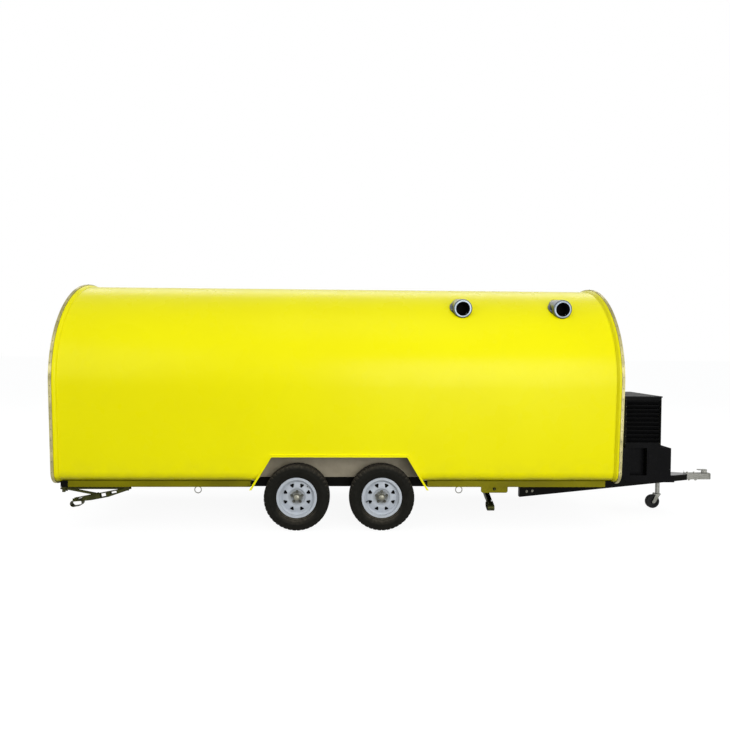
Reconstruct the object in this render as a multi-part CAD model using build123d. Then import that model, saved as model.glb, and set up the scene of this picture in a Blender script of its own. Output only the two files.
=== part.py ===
from build123d import *
import math
import os

# Round-roofed food trailer on two axles, in millimetres.
# +X points to the tow coupling, -Y is the trailer's right side, +Z is up.
# The origin is on the ground, midway along the overall length.

# Body shell
body_length = 5800
shell_radius = 1022
roof_axis_height = 1542
side_taper = 2.8
sill_height = 512
sill_radius = 110
wall = 40
trim_proud = 28
trim_width = 30
bead_width = 42
bead_lift = 20

# Rear door, in the middle of the rear wall
door_width = 700
door_sill = 577
door_headroom = 237
door_corner = 60
door_hinge_inset = 220
panel_gap = 6
handle_reach = 60
handle_radius = 9
handle_length = 200
handle_inset = 70

# Hinges and fits
knuckle_radius = 9
knuckle_length = 90
pin_radius = 4
fit = 0.05
seat_gap = 0.3
strap_gap = 0.5
strap_reach = 60
strap_thickness = 7
hinge_lift = 5

# Serving hatch and shelf, in the left side
hatch_length = 2600
hatch_middle = 150
hatch_sill = 1237
hatch_head_angle = 40
hatch_hinge_shares = (0.12, 0.5, 0.88)
shelf_depth = 350
shelf_thickness = 25
shelf_drop = 30
shelf_stand = 22
shelf_inset = 60
shelf_hinge_shares = (0.08, 0.5, 0.92)
strut_inset = 34
strut_eye_depth = 70
strut_eye_angle = 27
strut_foot_depth = 50
strut_foot_drop = 125
strut_show = 40
stud_width = 12
barrel_radius = 11
rod_radius = 5

# Chassis; stations count from the body's middle, beam_inset from the shell's widest line
rail_bottom = 448
rail_overhang = 32
rail_width = 60
beam_inset = 392
beam_width = 60
sub_beam_half = 1000
end_beam_width = 75
end_beam_setback = 52
cross_width = 50
cross_stations = (-1900, -1080, 1080, 1600, 2200)

# Running gear; the tyre's and rim's profiles are worked out from these
axle_spacing = 877
axle_setback = 8
tyre_radius = 340
tyre_width = 205
tyre_tuck = 36
tyre_lip = 2
tread_inset = 22
tread_crown = 3
shoulder_drop = 26
shoulder_inset = 6
shoulder_bulge = (12, 10)
rim_radius = 208
rim_width = 152
rim_wall = 6
flange_height = 20
seat_outer = 30
seat_inner = 24
well_depth = 20
well_ramp = 16
well_shift = 4
disc_offset = 24
disc_face = 78
disc_crown = 14
disc_rise = 14
disc_crown_end = 34
disc_shift = 4
hub_bore = 34
cap_reach = 40
window_count = 8
window_ring = 123
window_size = 56
axle_tube = 70
axle_lead = 100
axle_rise = 22
axle_plate = 6
axle_plate_half = 75
axle_arm_width = 30
axle_boss = 46
spindle_boss = 34
spindle_radius = 20
drum_radius = 130
drum_width = 74
drum_gap = 4
brake_plate_radius = 140
brake_plate_thickness = 10

# Wheel arches
arch_top = 772
arch_low = 437
arch_top_half = 690
arch_low_half = 890
arch_wall = 20
arch_clear = 45
arch_lip_proud = 20

# Drawbar, coupling and jockey wheel; reaches count from the front wall
arm_start = 1870
arm_reach = 1212
arm_nose_half = 52
arm_width = 50
arm_height = 104
arm_slim_run = 800
nose_height = 60
nose_plate = 10
nose_plate_length = 230
coupler_reach = 1532
coupler_half = 44
coupler_wall = 6
coupler_top = 421
coupler_bottom = 350
ball_radius = 25
ball_clearance = 0.7
socket_depth = 48
latch_setback = 49
latch_post = 54
latch_height = 34
latch_lever = 105
latch_plate = 8
jockey_reach = 892
jockey_tube = 30
jockey_wall = 5
jockey_collar = 42
jockey_collar_height = 34
jockey_tie_half = 52
jockey_tube_low = 343
jockey_tube_top = 687
jockey_travel = 120
jockey_stop = 10
crank_cap = 14
crank_rise = 46
crank_plate = 12
crank_half = 10
crank_arm = 110
crank_grip = 44
jockey_wheel_radius = 80
jockey_wheel_width = 56
jockey_shoulder = 14
jockey_recess = 12
jockey_rim = 26
jockey_boss = 12
jockey_hub_wall = 8
jockey_hub_play = 0.5
jockey_trail = 62
fork_top = 176
fork_plate = 6
fork_clear = 5
fork_back = 34
fork_front = 26
fork_end = 16
jockey_pin = 8
jockey_pin_end = 4

# Corner steadies: folding legs driven by a screw
steady_length = 560
steady_link = 315
steady_line = 428
steady_base_length = 676
steady_base_width = 74
steady_base_thickness = 4
pivot_radius = 6.3
ear_drop = 16
bracket_half = 29
steady_back = 24
steady_wall = 5
bracket_drop = 33
bracket_length = 33
leg_width = 50
leg_wall = 4
leg_top = 6
leg_pivot_depth = 18
leg_knee_depth = 46
leg_end_depth = 26
leg_knee_from = 200
leg_knee_to = 380
leg_window_edge = 8
leg_windows = ((110, 178), (221, 284), (462, 520))
screw_radius = 9
link_gap = 3.5
link_half = 9
link_end = 11
trunnion_radius = 5
trunnion_gap = 0.4
foot_setback = 30
foot_drop = 46
foot_half_run = 28
foot_radius = 33
foot_width = 72
rear_steady_inset = 720
rear_steady_angle = 11
front_steady_x = 1605
front_steady_inset = 16
front_steady_angle = 20
steady_plate_width = 280
steady_plate_height = 60
steady_plate_cut = 14

# Generator case on the drawbar; its stand's stations count from the front wall
case_gap = 312
case_length = 410
case_half = 392
case_bottom = 809
case_top = 1351
case_wall = 18
case_side_frame = 12
case_end_frame = 32
lid_thickness = 14
lid_overhang = 10
lid_hinge_ys = (-280, 0, 280)
lid_knuckle_radius = 8
louvre_count = 10
louvre_tilt = 38
louvre_thickness = 4
louvre_width = 52
block_headroom = 150
stand_rear_rear = 250
stand_rear_front = 370
stand_front_rear = 564
stand_front_front = 842
stand_top = 778
stand_recess = 80
skirt_bottom = 389
skirt_thickness = 6
skirt_lap = 20
skirt_lead = 44

# Small fittings; the vents count from the front wall, the rings from the body's middle
vent_rear_setback = 1623
vent_front_setback = 561
vent_angle = 49.4
vent_stand = 125
vent_tail = 300
vent_droop = 5
vent_radius = 100
vent_bore = 68
vent_depth = 140
vent_flange = 121
vent_flange_thickness = 14
ring_rear = -1464
ring_front = 1238
ring_radius = 34
ring_wire = 5
lamp_width = 190
lamp_height = 95
lamp_depth = 26
lamp_offset = 690
lamp_bottom = 612

# Worked out from the sizes above
rear_overhang = handle_reach
body_mid = (rear_overhang - coupler_reach) / 2
front_x = body_mid + body_length / 2
rear_x = body_mid - body_length / 2
taper = math.radians(side_taper)
sill_flat = (shell_radius - sill_radius
             - (roof_axis_height - sill_height - sill_radius) * math.sin(taper)) / math.cos(taper)
floor_top = sill_height + wall
axle_mid = body_mid - axle_setback
axle_xs = {"rear": axle_mid - axle_spacing / 2, "front": axle_mid + axle_spacing / 2}
sides = {"right": -1, "left": 1}
beam_mid = shell_radius - beam_inset
axle_height = tyre_radius + axle_rise
sub_beam_bottom = axle_height + axle_tube / 2 + axle_plate
rail_outside = sill_flat + rail_overhang
front_steady_outside = rail_outside - front_steady_inset
door_top = roof_axis_height + shell_radius - door_headroom
arm_x0, arm_x1 = body_mid + arm_start, front_x + arm_reach
arm_slope = (rail_outside - arm_nose_half) / (arm_x1 - arm_x0)
arm_skew = arm_width * math.hypot(1, arm_slope)
arm_low = rail_bottom - arm_height
nose_top = arm_low + nose_height
tie_bottom, tie_top = arm_low + 2 * nose_plate, arm_low + 4 * nose_plate
end_beam_rear = rear_x + end_beam_setback
end_beam_front = front_x - end_beam_setback
jockey_x = front_x + jockey_reach
coupler_tip = front_x + coupler_reach
case_rear = front_x + case_gap
case_front = case_rear + case_length
vent_xs = (front_x - vent_rear_setback, front_x - vent_front_setback)
ring_xs = (body_mid + ring_rear, body_mid + ring_front)


def block(x0, x1, y0, y1, z0, z1):
    """Box between two corners."""
    middle = Location(((x0 + x1) / 2, (y0 + y1) / 2, (z0 + z1) / 2))
    return middle * Box(x1 - x0, y1 - y0, z1 - z0)


def bar(start, end, radius):
    """Round bar from one point to another."""
    run = Vector(*end) - Vector(*start)
    ends = (Align.CENTER, Align.CENTER, Align.MIN)
    return Plane(origin=start, z_dir=run) * Cylinder(radius, run.length, align=ends)


def pipe(start, end, outer, inner):
    """Round tube from one point to another."""
    return bar(start, end, outer) - bar(start, end, inner)


def sideways(points, y0, y1):
    """Solid with an outline in X and Z, from one Y to another."""
    outline = Polyline(*[(x, 0, z) for x, z in points], close=True)
    return Location((0, y0, 0)) * extrude(make_face(outline), amount=y1 - y0, dir=(0, 1, 0))


def flat(points, z0, z1):
    """Solid with an outline in X and Y, from one height to another."""
    face = make_face(Polyline(*points, close=True))
    return Location((0, 0, z0)) * extrude(face, amount=z1 - z0, dir=(0, 0, 1))


def both_sides(shape):
    """The shape and its mirror image across the middle of the trailer."""
    return [shape, mirror(shape, Plane.XZ)]


def save(name, shapes):
    """Writes one node; several solids in it stay apart."""
    listed = shapes if isinstance(shapes, (list, tuple)) else [shapes]
    solids = [solid for shape in listed for solid in shape.solids()]
    export_step(solids[0] if len(solids) == 1 else Compound(solids), f"parts/{name}.step")


# Body shell


def section(inset):
    """Face of the body's outline across the trailer, moved inwards by inset."""
    radius = shell_radius - inset
    corner = sill_radius - inset
    low = sill_height + inset
    corner_z = sill_height + sill_radius
    arc_end = (radius * math.cos(taper), roof_axis_height - radius * math.sin(taper))
    side_end = (sill_flat + corner * math.cos(taper), corner_z - corner * math.sin(taper))
    middle = (taper + math.pi / 2) / 2
    corner_mid = (sill_flat + corner * math.cos(middle), corner_z - corner * math.sin(middle))
    ends = []
    for s in (-1, 1):
        ends += [
            Line((s * arc_end[0], arc_end[1]), (s * side_end[0], side_end[1])),
            ThreePointArc((s * side_end[0], side_end[1]), (s * corner_mid[0], corner_mid[1]),
                          (s * sill_flat, low)),
        ]
    roof = ThreePointArc((-arc_end[0], arc_end[1]), (0, roof_axis_height + radius), arc_end)
    return Plane.YZ * make_face(Curve() + [roof, *ends, Line((-sill_flat, low), (sill_flat, low))])


def body_solid(inset, x0, x1):
    """The body's outline, moved inwards by inset, as a solid from one X to another."""
    return Location((x0, 0, 0)) * extrude(section(inset), amount=x1 - x0, dir=(1, 0, 0))


def band(inner, outer, x0, x1):
    """Strip round the body between two insets."""
    return body_solid(outer, x0, x1) - body_solid(inner, x0, x1)


def side_at(height, inset):
    """Half width of the body's straight side or roof arc at a height."""
    radius = shell_radius - inset
    drop = roof_axis_height - height
    if drop < 0:
        return math.sqrt(radius**2 - drop**2)
    return (radius - drop * math.sin(taper)) / math.cos(taper)


def arch_solid(grow, y0, y1, low):
    """Trapezoid of a wheel arch, grown outwards all round."""
    rise = arch_top - arch_low
    lean = (arch_low_half - arch_top_half) / rise
    shift = grow * math.hypot(1, lean)

    def half(z):
        return arch_top_half + (arch_top - z) * lean + shift

    top = arch_top + grow
    points = [(axle_mid - half(low), low), (axle_mid + half(low), low),
              (axle_mid + half(top), top), (axle_mid - half(top), top)]
    return sideways(points, y0, y1)


skin_at_arch = side_at(arch_top, 0)
arch_lip_reach = skin_at_arch + arch_lip_proud
tyre_outside = skin_at_arch - tyre_tuck
wheel_mid = tyre_outside - tyre_width / 2
wheel_face = wheel_mid + disc_offset
brake_inner = wheel_face - drum_width - brake_plate_thickness
axle_end = brake_inner - seat_gap - axle_arm_width
arch_inside = tyre_outside - tyre_width - arch_clear
hatch_x = (body_mid + hatch_middle - hatch_length / 2, body_mid + hatch_middle + hatch_length / 2)
hatch_head = roof_axis_height + shell_radius * math.sin(math.radians(hatch_head_angle))
hinge_stand = knuckle_radius + hinge_lift
hatch_hinge = (side_at(hatch_head, 0) + hinge_stand * math.cos(math.radians(hatch_head_angle)),
               hatch_head + hinge_stand * math.sin(math.radians(hatch_head_angle)))
beyond = 2 * shell_radius


def hatch_block(shrink):
    """Space of the serving hatch, made smaller all round."""
    return block(hatch_x[0] + shrink, hatch_x[1] - shrink, shell_radius / 4, beyond,
                 hatch_sill + shrink, hatch_head - shrink)


def door_solid(shrink, x0, x1):
    """Door outline with rounded upper corners, made smaller all round."""
    half = door_width / 2 - shrink
    plain = block(x0, x1, -half, half, door_sill + shrink, door_top - shrink)
    upper = plain.edges().filter_by(Axis.X).group_by(Axis.Z)[-1]
    return fillet(upper, door_corner - shrink)


def shell_halves():
    """Right and left halves of the shell, meeting at the ridge, with arches and hatch cut out."""
    x0, x1 = rear_x + wall, front_x - wall
    skin = band(wall, 0, x0, x1)
    skin -= block(x0, x1, -sill_flat, sill_flat, 0, roof_axis_height / 2)
    skin -= arch_solid(arch_wall, -beyond, beyond, 0)
    skin -= hatch_block(0)
    for x in vent_xs:
        skin -= bar(*vent_line(x), vent_radius + seat_gap)
    lower, upper = 0, roof_axis_height + beyond
    return {"right": skin & block(x0, x1, -beyond, 0, lower, upper),
            "left": skin & block(x0, x1, 0, beyond, lower, upper)}


def floor_board():
    """Floor between the lower edges of the two shells, open over the wheels."""
    board = block(rear_x + wall, front_x - wall, -sill_flat, sill_flat, sill_height, floor_top)
    for side in sides.values():
        near, far = sorted((side * (arch_inside - arch_wall), side * beyond))
        board -= arch_solid(arch_wall, near, far, 0)
    return board


def wheel_box(side):
    """Tunnel over one pair of wheels, from the floor out to the skin."""
    near, far = sorted((side * (arch_inside - arch_wall), side * beyond))
    hollow_near, hollow_far = sorted((side * arch_inside, side * beyond))
    tunnel = arch_solid(arch_wall, near, far, sill_height)
    tunnel -= arch_solid(0, hollow_near, hollow_far, 0)
    return tunnel & body_solid(0, rear_x, front_x)


def arch_lip(side):
    """Folded lip that stands proud round one arch."""
    near, far = sorted((side * rail_outside, side * arch_lip_reach))
    lip = arch_solid(arch_wall, near, far, arch_low) - arch_solid(0, near, far, 0)
    return lip - body_solid(0, rear_x, front_x)


def vent_line(x):
    """Mouth and inner end of one exhaust stub's axis."""
    fall = math.tan(math.radians(vent_droop))
    root_y = shell_radius * math.cos(math.radians(vent_angle))
    root_z = roof_axis_height + shell_radius * math.sin(math.radians(vent_angle))
    return ((x, -root_y - vent_stand, root_z - vent_stand * fall),
            (x, vent_tail - root_y, root_z + vent_tail * fall))


def vent(x):
    """Stainless exhaust stub through the roof, with a rolled rim, a blind bore and a curved flange."""
    mouth, inner_end = vent_line(x)
    out = (Vector(*mouth) - Vector(*inner_end)).normalized()
    stub = bar(inner_end, mouth, vent_radius)
    rim = stub.edges().filter_by(GeomType.CIRCLE).sort_by(Axis.Y)[0]
    stub = fillet(rim, (vent_radius - vent_bore) * 0.45)
    lean = math.radians(vent_angle)
    normal = Vector(0, -math.cos(lean), math.sin(lean))
    foot = Vector(mouth[0], 0, roof_axis_height)
    disc = bar(tuple(foot + normal * shell_radius / 2), tuple(foot + normal * 2 * shell_radius), vent_flange)
    stub += disc & band(-seat_gap, -vent_flange_thickness, rear_x, front_x)
    bore_end = Vector(*mouth) - out * vent_depth
    return stub - bar(tuple(bore_end), tuple(Vector(*mouth) + out), vent_bore)


def end_bead(edge, inward):
    """Rounded bead of one end wall, lapped over the shell beside the edge trim."""
    ridge = roof_axis_height + shell_radius
    start, joint = edge + inward * trim_width, edge + inward * wall
    finish = start + inward * bead_width
    foot = ridge + seat_gap
    shoulder = (start + inward * bead_width * 0.6, 0, foot + bead_lift * 0.75)
    corners = Polyline((start, 0, ridge + bead_lift), (start, 0, ridge - 1), (joint, 0, ridge - 1),
                       (joint, 0, foot), (finish, 0, foot))
    profile = make_face(corners + ThreePointArc((finish, 0, foot), shoulder, (start, 0, ridge + bead_lift)))
    bead = sweep(profile, path=Location((start, 0, 0)) * section(0).face().outer_wire())
    low, high = sorted((edge, finish + inward))
    return bead - block(low, high, -beyond, beyond, 0, sill_height)


# Chassis


def rails():
    """Skirt rails under the sills, broken at the arches."""
    lean = (arch_low_half - arch_top_half) / (arch_top - arch_low)
    clear = arch_low_half + (arch_wall + seat_gap) * math.hypot(1, lean)
    inner = rail_outside - rail_width
    spans = [(end_beam_rear + end_beam_width, axle_mid - clear),
             (axle_mid + clear, end_beam_front - end_beam_width)]
    pieces = []
    for x0, x1 in spans:
        pieces += both_sides(block(x0, x1, inner, rail_outside, rail_bottom, sill_height))
    return pieces


def steady_plates():
    """Drop plate under each rail in front of a steady's drive, with cut corners and a hole for the crank."""
    x_plate = body_mid + front_steady_x
    half, low = steady_plate_width / 2, rail_bottom - steady_plate_height
    cut = steady_plate_cut
    rear, front = x_plate - half, x_plate + half
    plate = sideways([(rear, rail_bottom), (front, rail_bottom), (front, low + cut), (front - cut, low),
                      (rear + cut, low), (rear, low + cut)], rail_outside - steady_wall, rail_outside)
    hole = bar((x_plate, front_steady_outside, steady_line), (x_plate, rail_outside + 1, steady_line),
               screw_radius * 2)
    return both_sides(plate - hole)


def beams():
    """Two main beams along the trailer, deeper over the axles."""
    y0, y1 = beam_mid - beam_width / 2, beam_mid + beam_width / 2
    x0, x1 = end_beam_rear + end_beam_width, end_beam_front - end_beam_width
    beam = block(x0, x1, y0, y1, rail_bottom, sill_height)
    beam += block(axle_mid - sub_beam_half, axle_mid + sub_beam_half, y0, y1, sub_beam_bottom, sill_height)
    return both_sides(beam)


def cross_members():
    """End beams over the full width, and ties between beams and rails at each station."""
    pieces = [block(end_beam_rear, end_beam_rear + end_beam_width, -rail_outside, rail_outside,
                    rail_bottom, sill_height),
              block(end_beam_front - end_beam_width, end_beam_front, -rail_outside, rail_outside,
                    rail_bottom, sill_height)]
    spans = [(-(rail_outside - rail_width), -(beam_mid + beam_width / 2)),
             (-(beam_mid - beam_width / 2), beam_mid - beam_width / 2),
             (beam_mid + beam_width / 2, rail_outside - rail_width)]
    for station in cross_stations:
        x = body_mid + station
        for y0, y1 in spans:
            pieces.append(block(x - cross_width / 2, x + cross_width / 2, y0, y1, rail_bottom, sill_height))
    return pieces


def arm_half(x):
    """Half width over the drawbar's arms."""
    return arm_nose_half + (arm_x1 - x) * arm_slope


def drawbar_arms():
    """Two arms that run from the rails to the nose, slimmer towards the nose."""
    outline = [(arm_x0, rail_outside), (arm_x1, arm_nose_half), (arm_x1, arm_nose_half - arm_skew),
               (arm_x0, rail_outside - arm_skew)]
    slim_start, slim_end = front_x, front_x + arm_slim_run
    arm = flat(outline, arm_low, rail_bottom)
    arm -= sideways([(slim_start, rail_bottom), (slim_end, nose_top), (arm_x1 + 1, nose_top),
                     (arm_x1 + 1, rail_bottom + 1), (slim_start, rail_bottom + 1)], 0, beyond)
    return arm + mirror(arm, Plane.XZ)


def drawbar():
    """The arms with a cap plate and end plate at the nose and the jockey wheel's cross plate."""
    xp = arm_x1 - nose_plate_length
    cap = flat([(xp, arm_half(xp)), (arm_x1, arm_nose_half), (arm_x1, -arm_nose_half), (xp, -arm_half(xp))],
               nose_top, nose_top + nose_plate)
    end = block(arm_x1, arm_x1 + nose_plate, -arm_nose_half, arm_nose_half, arm_low, nose_top + nose_plate)
    rear, front = jockey_x - jockey_tie_half, jockey_x + jockey_tie_half
    rear_y, front_y = arm_half(rear) - arm_skew / 2, arm_half(front) - arm_skew / 2
    tie = flat([(rear, rear_y), (front, front_y), (front, -front_y), (rear, -rear_y)], tie_bottom, tie_top)
    cap -= bar((jockey_x, 0, arm_low), (jockey_x, 0, rail_bottom), jockey_collar + panel_gap)
    tie -= bar((jockey_x, 0, arm_low), (jockey_x, 0, rail_bottom), jockey_tube + seat_gap)
    return drawbar_arms() + cap + end + tie


def coupler():
    """Pressed ball coupling: a channel behind a domed head with a socket open below."""
    x0 = arm_x1 + nose_plate
    head_x = coupler_tip - coupler_half
    body = block(x0, head_x, -coupler_half, coupler_half, coupler_bottom, coupler_top)
    body += bar((head_x, 0, coupler_bottom), (head_x, 0, coupler_top), coupler_half)
    upper = body.edges().group_by(Axis.Z)[-1]
    body = fillet(upper, coupler_wall * 2)
    body -= block(x0 - 1, head_x - coupler_half, coupler_wall - coupler_half, coupler_half - coupler_wall,
                  coupler_bottom - 1, coupler_top - coupler_wall)
    bore = ball_radius + ball_clearance
    return body - bar((head_x, 0, coupler_bottom - 1), (head_x, 0, coupler_bottom + socket_depth), bore)


def coupler_latch():
    """Latch post on the coupling's back with a lever plate that reaches rearwards."""
    front = coupler_tip - latch_setback
    half, lever_half = coupler_half / 3, coupler_half / 2
    top = coupler_top + latch_height
    post = block(front - latch_post, front, -half, half, coupler_top, top)
    return post + block(front - latch_lever, front, -lever_half, lever_half, top, top + latch_plate)


# Running gear


def axles():
    """Square axle tubes across the trailer, each bracketed to both main beams."""
    pieces = []
    half = axle_tube / 2
    for x in axle_xs.values():
        middle = x + axle_lead
        axle = block(middle - half, middle + half, -axle_end, axle_end,
                     axle_height - half, axle_height + half)
        for side in sides.values():
            y0, y1 = sorted((side * (beam_mid - beam_width / 2), side * (beam_mid + beam_width / 2)))
            axle += block(middle - axle_plate_half, middle + axle_plate_half, y0, y1, axle_height + half,
                          sub_beam_bottom)
            for s in (-1, 1):
                x0, x1 = sorted((middle + s * half, middle + s * (half + axle_plate)))
                axle += block(x0, x1, y0, y1, axle_height, sub_beam_bottom)
        pieces.append(axle)
    return pieces


def axle_arms():
    """Trailing arms from the axle tubes' ends to the wheel centres, with the stub spindles."""
    pieces = []
    for x in axle_xs.values():
        root = x + axle_lead
        for side in sides.values():
            y0, y1 = side * axle_end, side * (axle_end + axle_arm_width)
            arm = bar((root, y0, axle_height), (root, y1, axle_height), axle_boss)
            arm += bar((x, y0, tyre_radius), (x, y1, tyre_radius), spindle_boss)
            arm += sideways([(x, tyre_radius + spindle_boss), (x, tyre_radius - spindle_boss),
                             (root, axle_height - axle_boss), (root, axle_height + axle_boss)],
                            *sorted((y0, y1)))
            tip = side * (wheel_face + spindle_radius)
            arm += bar((x, y0, tyre_radius), (x, tip, tyre_radius), spindle_radius)
            pieces.append(arm)
    return pieces


def brake_plates():
    """Backing plate behind each brake drum."""
    pieces = []
    outer = brake_inner + brake_plate_thickness
    for x in axle_xs.values():
        for side in sides.values():
            start, end = (x, side * brake_inner, tyre_radius), (x, side * outer, tyre_radius)
            pieces.append(pipe(start, end, brake_plate_radius, spindle_radius + fit))
    return pieces


def tyre(x, sign):
    """Tyre with rounded shoulders and bulged walls."""
    half = tyre_width / 2
    bead = rim_width / 2 - rim_wall - seat_gap
    seat = rim_radius - flange_height
    edge, wall_mid = rim_radius + tyre_lip, (rim_radius + tyre_radius) / 2
    tread, tread_edge = half - tread_inset, tyre_radius - tread_crown
    side, shoulder = half - shoulder_inset, tyre_radius - shoulder_drop
    bulge, bulge_edge = half - shoulder_bulge[0], tyre_radius - shoulder_bulge[1]
    outline = (Polyline((-bead, edge), (-bead, seat), (bead, seat), (bead, edge))
               + ThreePointArc((bead, edge), (half, wall_mid), (side, shoulder))
               + ThreePointArc((side, shoulder), (bulge, bulge_edge), (tread, tread_edge))
               + ThreePointArc((tread, tread_edge), (0, tyre_radius), (-tread, tread_edge))
               + ThreePointArc((-tread, tread_edge), (-bulge, bulge_edge), (-side, shoulder))
               + ThreePointArc((-side, shoulder), (-half, wall_mid), (-bead, edge)))
    face = Plane.YZ * make_face(outline)
    return Location((x, sign * wheel_mid, tyre_radius)) * revolve(face, Axis.Y)


def rim(x, side):
    """Pressed steel wheel: flanged barrel and a dished disc with windows, a centre bore and no nuts."""
    half = rim_width / 2
    seat = rim_radius - flange_height - seat_gap
    well = seat - well_depth
    t = rim_wall
    ramp_out, ramp_in = half - seat_outer, t - half + seat_inner
    well_out, well_in = ramp_out - well_ramp, ramp_in + well_ramp
    barrel = [(half, rim_radius), (half - t, rim_radius), (half - t, seat), (ramp_out, seat),
              (well_out, well), (well_in, well), (ramp_in, seat),
              (t - half, seat), (t - half, rim_radius), (-half, rim_radius),
              (-half, seat - t), (ramp_in - well_shift, seat - t), (well_in - well_shift, well - t),
              (well_out + well_shift, well - t), (ramp_out + well_shift, seat - t), (half, seat - t)]
    crown, crown_back = t + disc_crown, disc_crown - t
    crown_start, crown_end = disc_face + disc_rise, disc_face + disc_crown_end
    disc = [(0, hub_bore), (t, hub_bore), (t, disc_face), (crown, crown_start), (crown, crown_end),
            (t - disc_shift, well - t), (-disc_shift - t, well - t), (crown_back, crown_end),
            (crown_back, crown_start + disc_shift), (0, disc_face + t)]
    disc = [(w + disc_offset, r) for w, r in disc]
    parts = []
    for outline in (barrel, disc):
        pairs = [(side * w, r) for w, r in outline]
        face = make_face(Plane.YZ * Polyline(*pairs, close=True))
        parts.append(revolve(face, Axis.Y))
    wheel = parts[0] + parts[1]
    for i in range(window_count):
        angle = 360 / window_count * (i + 0.5)
        a = window_size / 2
        hole = fillet(Polygon((-a, a * 0.8), (a, a * 0.8), (0, -a), align=None).vertices(), a * 0.35)
        cut = extrude(Plane.XZ * Location((0, window_ring)) * hole, amount=half, both=True)
        wheel -= Rotation(0, angle, 0) * cut
    return Location((x, side * wheel_mid, tyre_radius)) * wheel


def hub(x, side):
    """Brake drum with its mounting face and a grease cap, bored for the spindle."""
    y0, y1 = side * (wheel_face - drum_width + drum_gap), side * wheel_face
    drum = bar((x, y0, tyre_radius), (x, y1, tyre_radius), drum_radius)
    drum += bar((x, y1, tyre_radius), (x, side * (wheel_face + cap_reach), tyre_radius), hub_bore - seat_gap)
    circles = drum.edges().filter_by(GeomType.CIRCLE).sort_by(Axis.Y)
    drum = fillet(circles[-1 if side > 0 else 0], drum_gap * 2)
    bore_end = side * (wheel_face + spindle_radius + drum_gap)
    return drum - bar((x, y0 - side, tyre_radius), (x, bore_end, tyre_radius), spindle_radius + fit)


# Corner steadies


def steady_spots():
    """Name, pivot point, heading in degrees and leg angle below the level of each steady."""
    rear = rear_x + rear_steady_inset
    front = body_mid + front_steady_x
    y = rail_outside - rail_width / 2
    back = front_steady_outside - steady_base_length + steady_back
    return [("rear_right", (rear, -y), 180, rear_steady_angle),
            ("rear_left", (rear, y), 180, rear_steady_angle),
            ("front_right", (front, -back), -90, front_steady_angle),
            ("front_left", (front, back), 90, front_steady_angle)]


def placed(shape, pivot, heading):
    """Moves a steady's piece from its own frame, pivot at the origin and +X outwards, to its spot."""
    return Location((pivot[0], pivot[1], steady_line), (0, 0, heading)) * shape


def steady_base():
    """Mounting strip with ears for the leg's pivot pin, the drive screw and the bracket at its outer end."""
    back, front = -steady_back, steady_base_length - steady_back
    half, top = steady_base_width / 2, rail_bottom - steady_line
    base = block(back, front, -half, half, top - steady_base_thickness, top)
    base += block(front - steady_wall, front, -bracket_half, bracket_half, -bracket_drop, top)
    for s in (-1, 1):
        y0, y1 = sorted((s * (half - steady_wall), s * half))
        base += block(back, steady_back, y0, y1, -ear_drop, top)
        y0, y1 = sorted((s * (bracket_half - steady_wall), s * bracket_half))
        base += block(front - bracket_length, front, y0, y1, -bracket_drop, top)
    base += bar((screw_radius, 0, 0), (front + 2 * pivot_radius, 0, 0), screw_radius)
    base += bar((0, -half, 0), (0, half, 0), pivot_radius)
    r = screw_radius
    return base + block(-r, 2 * r, -r, r, -r, r)


def leg_depth(x):
    """Depth of a steady leg's lower edge below its pivot line."""
    if x < leg_knee_from:
        return leg_pivot_depth + (leg_knee_depth - leg_pivot_depth) * x / leg_knee_from
    share = max(0, x - leg_knee_to) / (steady_length - leg_knee_to)
    return leg_knee_depth - (leg_knee_depth - leg_end_depth) * share


def leg_prism(half, start, end, head, lift):
    """Solid between a level head and the leg's lower edge, raised by lift."""
    stations = (start, leg_knee_from, leg_knee_to, end)
    edge = [(x, lift - leg_depth(x)) for x in stations]
    return sideways([(end, head), (start, head), *edge], -half, half)


def foot_loop(radius, half):
    """Rounded bar across the leg's end with flat sides, the outline of the looped foot."""
    middle = steady_length - foot_setback
    ends = (middle - foot_half_run, middle + foot_half_run)
    loop = block(*ends, -half, half, -foot_drop - radius, radius - foot_drop)
    for x in ends:
        loop += bar((x, -half, -foot_drop), (x, half, -foot_drop), radius)
    return loop


def steady_leg(angle):
    """Pressed channel leg, deepest at its knee, with windowed walls, a looped foot and ears on the pin."""
    half, ear = leg_width / 2, ear_drop - 1
    leg = leg_prism(half, 0, steady_length, leg_top, 0)
    leg += bar((0, -half, -leg_wall), (0, half, -leg_wall), ear)
    leg -= leg_prism(half - leg_wall, -2 * ear, steady_length + 1, 2 * ear, leg_wall)
    for x0, x1 in leg_windows:
        low = leg_window_edge - min(leg_depth(x0), leg_depth(x1))
        leg -= block(x0, x1, -leg_width, leg_width, low, 0)
    leg += foot_loop(foot_radius, foot_width / 2) - foot_loop(foot_radius - leg_wall, foot_width)
    for x in (0, steady_link):
        leg -= bar((x, -leg_width, 0), (x, leg_width, 0), pivot_radius + fit)
    return Rotation(0, angle, 0) * leg


def steady_strut(angle):
    """Twin-plate push link from the leg's middle up to the trunnions beside the screw."""
    inner = screw_radius + link_gap
    plate_pair = Part()
    for s in (-1, 1):
        y0, y1 = sorted((s * inner, s * (inner + leg_wall)))
        plate = block(0, steady_link, y0, y1, -link_half, link_half)
        for x in (0, steady_link):
            plate += bar((x, y0, 0), (x, y1, 0), link_end)
        plate_pair += plate
        near, far = sorted((s * (screw_radius + trunnion_gap), s * inner))
        plate_pair += bar((steady_link, near, 0), (steady_link, far, 0), trunnion_radius)
    plate_pair += bar((0, -leg_width / 2, 0), (0, leg_width / 2, 0), pivot_radius)
    lean = math.radians(angle)
    knee = Location((steady_link * math.cos(lean), 0, -steady_link * math.sin(lean)))
    return knee * Rotation(0, -angle, 0) * plate_pair


# Jockey wheel


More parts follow.
